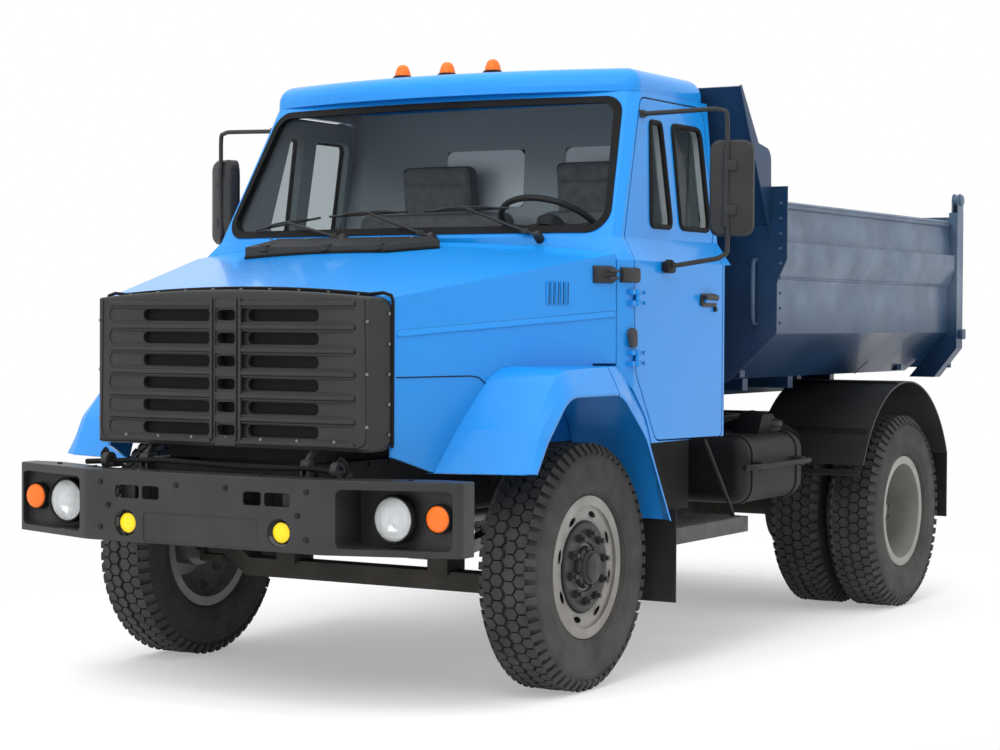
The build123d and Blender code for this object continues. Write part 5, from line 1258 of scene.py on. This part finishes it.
class TIPPER_OT_cab(bpy.types.Operator):
    """Makes the window rubbers, door handles, hinge bolts, rear panes, wipers and roof lamps"""

    bl_idname = "tipper.cab_details"
    bl_label = "Cab details"

    def execute(self, context):
        quarter = [(0.612, 1.915), (0.812, 1.915), (0.812, 2.372), (0.712, 2.372)]
        main = [(0.902, 1.915), (1.200, 1.915), (1.208, 2.372), (0.922, 2.372)]
        for side, word in SIDES:
            bm = bmesh.new()
            for window in (quarter, main):
                run = [at(side * (cab_side(z) - 0.001), s, z) for s, z in window]
                pipe(bm, closed_run(run, 0.13), 0.012, 8)
            piece("window_rubbers_" + word, bm, "door_" + word, "rubber")
            bm = bmesh.new()
            rounded_box(bm, at(side * 1.125, 1.010, 1.600), (0.016, 0.150, 0.060), 0, 0.006)
            rounded_box(bm, at(side * 1.146, 1.000, 1.612), (0.020, 0.125, 0.024), 0, 0.008)
            pipe(bm, flank(side, [(1.122, 1.052, 1.607), (1.150, 1.052, 1.609)]), 0.011, 12)
            lathe(bm, [(0, 0.011), (0.012, 0.011), (0.014, 0.0)], at(side * 1.120, 1.085, 1.560),
                  (side, 0, 0), 20)
            piece("door_handle_" + word, bm, "door_" + word, "black_plastic", bevel=0.002)
            places = []
            for z in (1.352, 1.604):
                for dz in (-0.022, 0.022):
                    for s in (0.352, 0.392):
                        places.append((at(side * 1.124, s, z + dz), Vector((side, 0, 0))))
            spread("hinge_bolts_" + word, item_tree("hinge_bolt", HEX_SIDES), places, "door_" + word,
                   "cab_paint", 0.014, 0.008)
        bm = bmesh.new()
        low_z, high_z = REAR_WINDOW_HEIGHTS
        for low_x, high_x in REAR_WINDOWS:
            run = [at(x, CAB_REAR + (z - 1.76) * CAB_REAR_LEAN + 0.001, z) for x, z in
                   ((low_x, low_z), (high_x, low_z), (high_x, high_z), (low_x, high_z))]
            pipe(bm, closed_run(run, 0.12), 0.011, 8)
        piece("rear_window_rubbers", bm, "chassis", "rubber")
        # the rear panes are pale and opaque: a painted sheen standing for glare on the rear windows
        bm = bmesh.new()
        for low_x, high_x in REAR_WINDOWS:
            rounded_box(bm, at((low_x + high_x) / 2, 1.2585, 2.186), (high_x - low_x, 0.004, 0.272), 0,
                        0.04)
        piece("rear_panes", bm, "chassis", "clear_glass", material=finish(
            "painted_sheen_pane", colour=(0.86, 0.89, 0.90), rough=0.35, mottle=(3, 0.04), gloss=0.3))
        bm = bmesh.new()
        for pivot, low, high in WIPERS:
            ends = [at(x, screen(x, z) - 0.016, z) for x, z in (low, high)]
            middle = ends[0].lerp(ends[1], 0.5)
            foot = at(pivot, screen(pivot, WIPER_PIVOT_Z) - 0.026, WIPER_PIVOT_Z)
            pipe(bm, [ends[0].lerp(ends[1], t) for t in (0, 0.25, 0.5, 0.75, 1)], 0.0055, 8)
            up = Vector((0, -0.016, 0.008))
            bow = [ends[0].lerp(ends[1], 0.12), ends[0].lerp(ends[1], 0.3) + up,
                   ends[0].lerp(ends[1], 0.7) + up, ends[0].lerp(ends[1], 0.88)]
            pipe(bm, rounded(bow, 0.2, 2), 0.0045, 8)
            knee = foot.lerp(middle, 0.28) + Vector((0, -0.012, 0.0))
            pipe(bm, rounded([foot, knee, middle + up], 0.2, 2), 0.0065, 8)
            lathe(bm, [(-0.03, 0.0), (-0.03, 0.020), (0.006, 0.020), (0.018, 0.012), (0.020, 0.0)], foot,
                  (0, -0.75, 0.6), 20)
            rounded_box(bm, foot.lerp(knee, 0.55), (0.036, 0.020, 0.022), 0, 0.006)
        piece("wiper_arms", bm, "chassis", "black_plastic", replaces=("wipers",))
        bm = bmesh.new()
        lenses = bmesh.new()
        for place in ROOF_LAMPS:
            foot = at(*place)
            lathe(bm, [(0.0, 0.0), (0.0, 0.048), (0.006, 0.050), (0.014, 0.044), (0.020, 0.036),
                       (0.020, 0.0)], foot, (0, 0, 1), 32)
            lathe(lenses, [(0.018, 0.0), (0.018, 0.037), (0.028, 0.036), (0.048, 0.030), (0.060, 0.024),
                           (0.068, 0.014), (0.070, 0.0)], foot, (0, 0, 1), 32)
        piece("roof_lamp_bases", bm, "chassis", "rubber")
        piece("roof_lamp_lenses", lenses, "chassis", "amber", replaces=("roof_lamps",))
        return {"FINISHED"}


# ---------------------------------------------------------------- bed and side equipment
BED_FRONT = 1.72
BED_REAR = 4.06


class TIPPER_OT_bed(bpy.types.Operator):
    """Makes the bed's irons, gussets, latches, pivot caps and bolts, and the tailgate's ribs"""

    bl_idname = "tipper.bed_details"
    bl_label = "Bed details"

    def execute(self, context):
        bm = bmesh.new()
        for side in (-1, 1):
            for s in (2.486, 3.323):
                gusset = ((0.900, 1.225), (0.985, 1.300), (0.905, 1.240))
                prism(bm, flank(side, [(x, s - 0.006, z) for x, z in gusset]), (0, 0.012, 0))
            for s in (1.768, 3.872):
                side_block(bm, side, (0.86, s - 0.03, 1.238), (0.95, s + 0.03, 1.292))
            # bead along the side's middle
            bead = ((1.150, 1.700), (1.166, 1.709), (1.166, 1.716), (1.150, 1.722), (1.145, 1.710))
            loft(bm, [flank(side, [(x, s, z) for x, z in bead]) for s in (BED_FRONT, 2.89, BED_REAR)])
            # flat iron along the side's top
            side_block(bm, side, (1.128, BED_FRONT, 2.058), (1.176, BED_REAR, 2.066))
            # box channel on the front wall, with its ends closed
            side_block(bm, side, (0.91, 1.705, 1.494), (0.99, 1.745, 1.881))
        piece("bed_side_irons", bm, "bed", "bed_paint", bevel=0.003)
        bm = bmesh.new()
        for side in (-1, 1):
            run = flank(side, [(1.05, 1.700, 1.495), (1.05, 1.655, 1.50), (1.05, 1.655, 1.79),
                               (1.05, 1.700, 1.80)])
            pipe(bm, rounded(run, 0.25), 0.011, 10)
            # tailgate latch on the post with its pivot and lever
            rounded_box(bm, at(side * 1.203, 4.175, 1.440), (0.022, 0.085, 0.060), 0, 0.008)
            lathe(bm, [(0, 0.0), (0, 0.026), (0.016, 0.026), (0.020, 0.018), (0.020, 0.0)],
                  at(side * 1.206, 4.140, 1.440), (side, 0, 0), 24)
            # pivot caps at the ears
            lathe(bm, [(0, 0.0), (0, 0.030), (0.014, 0.030), (0.018, 0.022), (0.018, 0.0)],
                  at(side * 1.198, 4.145, 2.190), (side, 0, 0), 24)
        piece("bed_fittings", bm, "bed", "bed_paint", bevel=0.002)
        bm = bmesh.new()
        for x in (-0.8, -0.4, 0.0, 0.4, 0.8):
            block(bm, (x - 0.022, 4.215, 1.30), (x + 0.022, 4.232, 1.98))
        for z in (1.254, 1.98, 2.072):
            block(bm, (-1.10, 4.214, z), (1.10, 4.230, z + 0.024))
        for side in (-1, 1):
            pipe(bm, rounded(flank(side, [(0.62, 4.214, 1.70), (0.62, 4.262, 1.70), (0.62, 4.262, 1.58),
                                          (0.62, 4.214, 1.58)]), 0.25), 0.009, 10)
        piece("tailgate_ribs", bm, "tailgate", "bed_paint", bevel=0.003)
        places = []
        for side in (-1, 1):
            for k in range(9):
                places.append((at(side * 1.175, 1.691, 1.50 + 0.07 * k), Vector((0, -1, 0))))
        spread("bed_bolts", item_tree("bed_bolt", HEX_SIDES), places, "bed", "bed_paint",
               context.scene.tipper_sizes.bolt_head, 0.010)
        return {"FINISHED"}


FENDER_RADIUS = 0.691
STEP_FRONT = 0.66
STEP_REAR = 1.38
STEP_TOP = 0.6155
FRAME_SIDE = 0.432
TREAD_PLATE = dict(colour=(0.055, 0.055, 0.055), rough=0.55, metallic=0.1, mottle=(14, 0.3),
                   grain=(220, 0.3))


class TIPPER_OT_equipment(bpy.types.Operator):
    """Makes the tank's fittings, flap and guard, step treads, fender ribs, rivets and tail lamp bars"""

    bl_idname = "tipper.equipment"
    bl_label = "Side equipment"

    def execute(self, context):
        bm = bmesh.new()
        lathe(bm, [(-0.02, 0.0), (-0.02, 0.055), (0.030, 0.055), (0.034, 0.062), (0.058, 0.062),
                   (0.064, 0.050), (0.066, 0.0)], at(0.95, 2.08, 0.968), (0.1, 0, 1), 32)
        pipe(bm, rounded([at(0.95, 2.02, 1.03), at(0.95, 2.08, 1.05), at(0.95, 2.14, 1.03)]), 0.008, 8)
        rounded_box(bm, at(0.66, 1.62, 0.985), (0.10, 0.10, 0.04), 0, 0.02)
        for k in range(6):
            a = math.radians(60 * k)
            lathe(bm, [(0, 0.0), (0, 0.007), (0.008, 0.007), (0.008, 0.0)],
                  at(0.66 + 0.035 * math.cos(a), 1.62 + 0.035 * math.sin(a), 1.004), (0, 0, 1), 6)
        piece("tank_fittings", bm, "chassis", "black_plastic", bevel=0.002)
        bm = bmesh.new()
        rings = []
        across = [k / 4 for k in range(-4, 5)]

        def flap_edge(base, s, rise, fat, shares):
            """Places across the flap, domed by rise and wrinkled by fat."""
            return [at(0.80 + 0.16 * t, s, base + rise * (1 - 0.35 * t * t)
                       + 0.012 * math.sin(9 * t + 14 * s) * fat) for t in shares]

        for row in ((2.10, 0.0, 0.3), (2.16, 0.035, 0.9), (2.22, 0.085, 1.0), (2.30, 0.055, 1.0),
                    (2.40, 0.030, 0.9), (2.46, -0.03, 0.6), (2.50, -0.07, 0.4)):
            rings.append(flap_edge(0.955, *row, across) + flap_edge(0.947, *row, across[::-1]))
        loft(bm, rings)
        piece("tank_flap", bm, "chassis", "rubber", subdivide=1, angle=60)
        bm = bmesh.new()
        for side in (-1, 1):
            pipe(bm, rounded(flank(side, [(1.12, 0.987, 0.985), (1.12, 1.02, 0.95), (1.12, 1.27, 0.665),
                                          (1.12, 1.30, 0.618)]), 0.15), 0.010, 10)
            pipe(bm, rounded(flank(side, [(0.93, 0.80, 0.62), (0.93, 0.80, 0.98)]), 0.15), 0.010, 10)
        pipe(bm, rounded([at(1.13, 1.40, 0.835), at(1.16, 1.46, 0.835), at(1.16, 2.10, 0.835),
                          at(1.10, 2.18, 0.835)], 0.2), 0.014, 12)
        for s in (1.56, 2.03):
            block(bm, (1.08, s - 0.02, 0.815), (1.155, s + 0.02, 0.855))
        piece("tank_guard", bm, "chassis", "chassis_black", bevel=0.002)
        bm = bmesh.new()
        for side in (-1, 1):
            for k in range(24):
                s = STEP_FRONT + (STEP_REAR - STEP_FRONT) * (k + 0.5) / 24
                for i in range(8):
                    x = 0.885 + 0.25 * (i + 0.5) / 8
                    tilt = 0.009 if (k + i) % 2 else -0.009
                    low = flank(side, [(x - 0.011, s - tilt - 0.003, STEP_TOP),
                                       (x + 0.011, s + tilt - 0.003, STEP_TOP),
                                       (x + 0.011, s + tilt + 0.003, STEP_TOP),
                                       (x - 0.011, s - tilt + 0.003, STEP_TOP)])
                    prism(bm, low, (0, 0, 0.0035))
            side_block(bm, side, (0.870, 0.645, 0.613), (1.152, 1.395, 0.6157))
        piece("step_treads", bm, "chassis", "steel", material=finish("worn_tread_plate", **TREAD_PLATE))
        bm = bmesh.new()
        for side in (-1, 1):
            for a0 in (22, 60, 100, 140, 160):
                a = math.radians(a0)
                x0, x1 = sorted((side * 0.63, side * 1.20))
                out = (math.cos(a), math.sin(a))
                rows = []
                for rise, w in ((-0.001, 0.018), (0.007, 0.012), (0.007, -0.012), (-0.001, -0.018)):
                    r = FENDER_RADIUS + rise
                    rows.append((REAR_AXLE + out[0] * r - out[1] * w, HUB_Z + out[1] * r + out[0] * w))
                side_prism(bm, rows, x0, x1)
        piece("fender_ribs", bm, "chassis", "chassis_black", bevel=0.002)
        places = []
        for side in (-1, 1):
            for k in range(34):
                s = -0.78 + 0.142 * k
                places.append((at(side * FRAME_SIDE, s, 0.93), Vector((side, 0, 0))))
                places.append((at(side * FRAME_SIDE, s + 0.07, 0.80), Vector((side, 0, 0))))
        spread("frame_rivets", item_tree("frame_rivet", ROUND_SIDES), places, "chassis", "chassis_black",
               0.024, 0.012)
        bm = bmesh.new()
        for side in (-1, 1):
            for k in range(3):
                x = 0.72 + 0.095 * k
                side_block(bm, side, (x, 4.07, 0.86), (x + 0.004, 4.112, 0.94))
        piece("tail_lamp_bars", bm, "chassis", "rubber")
        return {"FINISHED"}


# ---------------------------------------------------------------- stage
CAMERA_PLACE = (5.36804, -9.49205, 1.51126)
CAMERA_TURN = math.radians(30.6225)
CAMERA_PITCH = math.radians(1.4331)
CAMERA_ROLL = math.radians(0.2870)
CAMERA_LENS = 80.25


def white_seen_directly(add, maths):
    """1 for rays from the camera, mirrors and glass, which see the plain white surroundings."""
    ray = add("ShaderNodeLightPath").outputs
    seen = maths("MAXIMUM", ray["Is Camera Ray"], ray["Is Glossy Ray"])
    return maths("MAXIMUM", seen, ray["Is Transmission Ray"])


class TIPPER_OT_stage(bpy.types.Operator):
    """Adds the floor, the soft lights and the camera"""

    bl_idname = "tipper.stage"
    bl_label = "Stage"

    def execute(self, context):
        scene = context.scene
        scene.view_settings.view_transform = "Standard"
        self.add_sky(scene)
        bpy.ops.mesh.primitive_plane_add(size=80, location=(0, 0, 0))
        floor = context.object
        floor.name = "floor"
        floor.data.materials.append(self.floor_material())

        for name, place, turn, size, power in (
            ("key", (1.0, -7.0, 6.5), (48, 0, 8), 5.0, 400),
            ("left_fill", (7.5, 2.5, 3.6), (68, 0, 108), 5.0, 170),
            ("front_fill", (-3.0, -8.0, 3.0), (72, 0, -20), 4.0, 90),
            ("top", (0, 0, 8), (0, 0, 0), 8.0, 450),
            ("back_fill", (-6, 6, 5), (60, 0, -135), 5.0, 120),
        ):
            data = bpy.data.lights.new(name, "AREA")
            data.shape = "SQUARE"
            data.size = size
            data.energy = power
            lamp = bpy.data.objects.new(name, data)
            lamp.location = place
            lamp.rotation_euler = [math.radians(v) for v in turn]
            lamp.visible_glossy = False
            context.collection.objects.link(lamp)

        data = bpy.data.cameras.new("camera")
        data.sensor_width = 36
        data.lens = CAMERA_LENS
        data.clip_end = 200
        camera = bpy.data.objects.new("camera", data)
        context.collection.objects.link(camera)
        forward = Vector((-math.sin(CAMERA_TURN) * math.cos(CAMERA_PITCH),
                          math.cos(CAMERA_TURN) * math.cos(CAMERA_PITCH), -math.sin(CAMERA_PITCH)))
        right = Vector((math.cos(CAMERA_TURN), math.sin(CAMERA_TURN), 0))
        up = right.cross(forward)
        rolled_right = right * math.cos(CAMERA_ROLL) + up * math.sin(CAMERA_ROLL)
        rolled_up = up * math.cos(CAMERA_ROLL) - right * math.sin(CAMERA_ROLL)
        turn = Matrix((rolled_right, rolled_up, -forward)).transposed().to_4x4()
        camera.matrix_world = Matrix.Translation(CAMERA_PLACE) @ turn
        scene.camera = camera
        return {"FINISHED"}

    def add_sky(self, scene):
        """A soft sky that lights the truck, behind plain white where it is seen directly."""
        world = bpy.data.worlds.new("soft_white")
        scene.world = world
        world.use_nodes = True
        add, maths = node_adder(world.node_tree)
        way = add("ShaderNodeTexCoord")
        split = add("ShaderNodeSeparateXYZ", {0: way.outputs["Generated"]})
        sky = add("ShaderNodeValToRGB", {"Fac": split.outputs["Z"]})
        stops = sky.color_ramp.elements
        for place, level in ((0.0, 0.12), (0.04, 0.42), (0.35, 0.62), (0.65, 0.90), (1.0, 1.10)):
            stops.new(place).color = (level * 0.97, level * 0.985, level, 1)
        stops.remove(stops[0])
        stops.remove(stops[-1])
        back = world.node_tree.nodes["Background"]
        back.inputs["Strength"].default_value = 1.0
        world.node_tree.links.new(sky.outputs["Color"], back.inputs["Color"])
        white = add("ShaderNodeBackground", {"Color": (1, 1, 1, 1), "Strength": 1.0})
        mix = add("ShaderNodeMixShader", {"Fac": white_seen_directly(add, maths),
                                          1: back.outputs["Background"], 2: white.outputs["Background"]})
        world.node_tree.links.new(mix.outputs["Shader"],
                                  world.node_tree.nodes["World Output"].inputs["Surface"])

    def floor_material(self):
        """Pale floor that keeps the truck's soft shadow and turns white away from it."""
        material, add, maths = new_material("pale_floor")
        nodes = material.node_tree.nodes
        nodes.remove(nodes["Principled BSDF"])
        matt = add("ShaderNodeBsdfDiffuse", {"Color": (0.86, 0.86, 0.86, 1)})
        plain_white = add("ShaderNodeEmission", {"Strength": 1.0})
        place = add("ShaderNodeTexCoord")
        oval = add("ShaderNodeMapping", {"Vector": place.outputs["Object"], "Scale": (2.6, 4.4, 1.0)},
                   vector_type="TEXTURE")
        distance = add("ShaderNodeVectorMath", {0: oval.outputs["Vector"]}, operation="LENGTH")
        fade = add("ShaderNodeMapRange", {
            "Value": distance.outputs["Value"], "From Min": 0.55, "From Max": 1.15, "To Min": 0.34},
            interpolation_type="SMOOTHSTEP")
        far = maths("MULTIPLY", fade.outputs["Result"], white_seen_directly(add, maths))
        return show(material, add("ShaderNodeMixShader", {
            "Fac": far, 1: matt.outputs["BSDF"], 2: plain_white.outputs["Emission"]}))


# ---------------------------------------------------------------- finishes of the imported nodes
class TIPPER_OT_finishes(bpy.types.Operator):
    """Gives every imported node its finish"""

    bl_idname = "tipper.finishes"
    bl_label = "Finishes"

    def execute(self, context):
        for part in frame["record"]["subparts"]:
            dress(part["node"], material_of(part["material_slot"]))
        dress("bed_front_wall", material_of("bed_paint_shaded"))
        dress("steps", finish("worn_tread_plate", **TREAD_PLATE))
        dress("cab_glass", window_glass("screen_glass", (0.93, 0.95, 0.96), 0.03))
        for word in ("left", "right"):
            dress("door_glass_" + word, window_glass("door_glass", (0.72, 0.75, 0.76), 0.03))
        return {"FINISHED"}


# ---------------------------------------------------------------- add-on
OPERATORS = (TIPPER_OT_stage, TIPPER_OT_finishes, TIPPER_OT_tyres, TIPPER_OT_hubs, TIPPER_OT_lamps,
             TIPPER_OT_grille, TIPPER_OT_bumper, TIPPER_OT_hood, TIPPER_OT_mirrors, TIPPER_OT_seats,
             TIPPER_OT_dashboard, TIPPER_OT_cab, TIPPER_OT_bed, TIPPER_OT_equipment)


class TIPPER_PT_panel(bpy.types.Panel):
    """Lists the truck's sizes, colours and makers"""

    bl_idname = "TIPPER_PT_panel"
    bl_label = "Tipper"
    bl_space_type = "VIEW_3D"
    bl_region_type = "UI"
    bl_category = "Tipper"

    def draw(self, context):
        layout = self.layout
        for group in (context.scene.tipper_colours, context.scene.tipper_sizes):
            box = layout.box()
            for label in group.__annotations__:
                box.prop(group, label)
        for operator in OPERATORS:
            layout.operator(operator.bl_idname)


CLASSES = (TipperColours, TipperSizes, *OPERATORS, TIPPER_PT_panel)


def register():
    for cls in CLASSES:
        bpy.utils.register_class(cls)
    bpy.types.Scene.tipper_colours = bpy.props.PointerProperty(type=TipperColours)
    bpy.types.Scene.tipper_sizes = bpy.props.PointerProperty(type=TipperSizes)


def unregister():
    del bpy.types.Scene.tipper_sizes
    del bpy.types.Scene.tipper_colours
    for cls in reversed(CLASSES):
        bpy.utils.unregister_class(cls)


def main():
    register()
    for operator in OPERATORS:
        area, call = operator.bl_idname.split(".")
        getattr(getattr(bpy.ops, area), call)()
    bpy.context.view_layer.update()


if __name__ == "__main__":
    main()
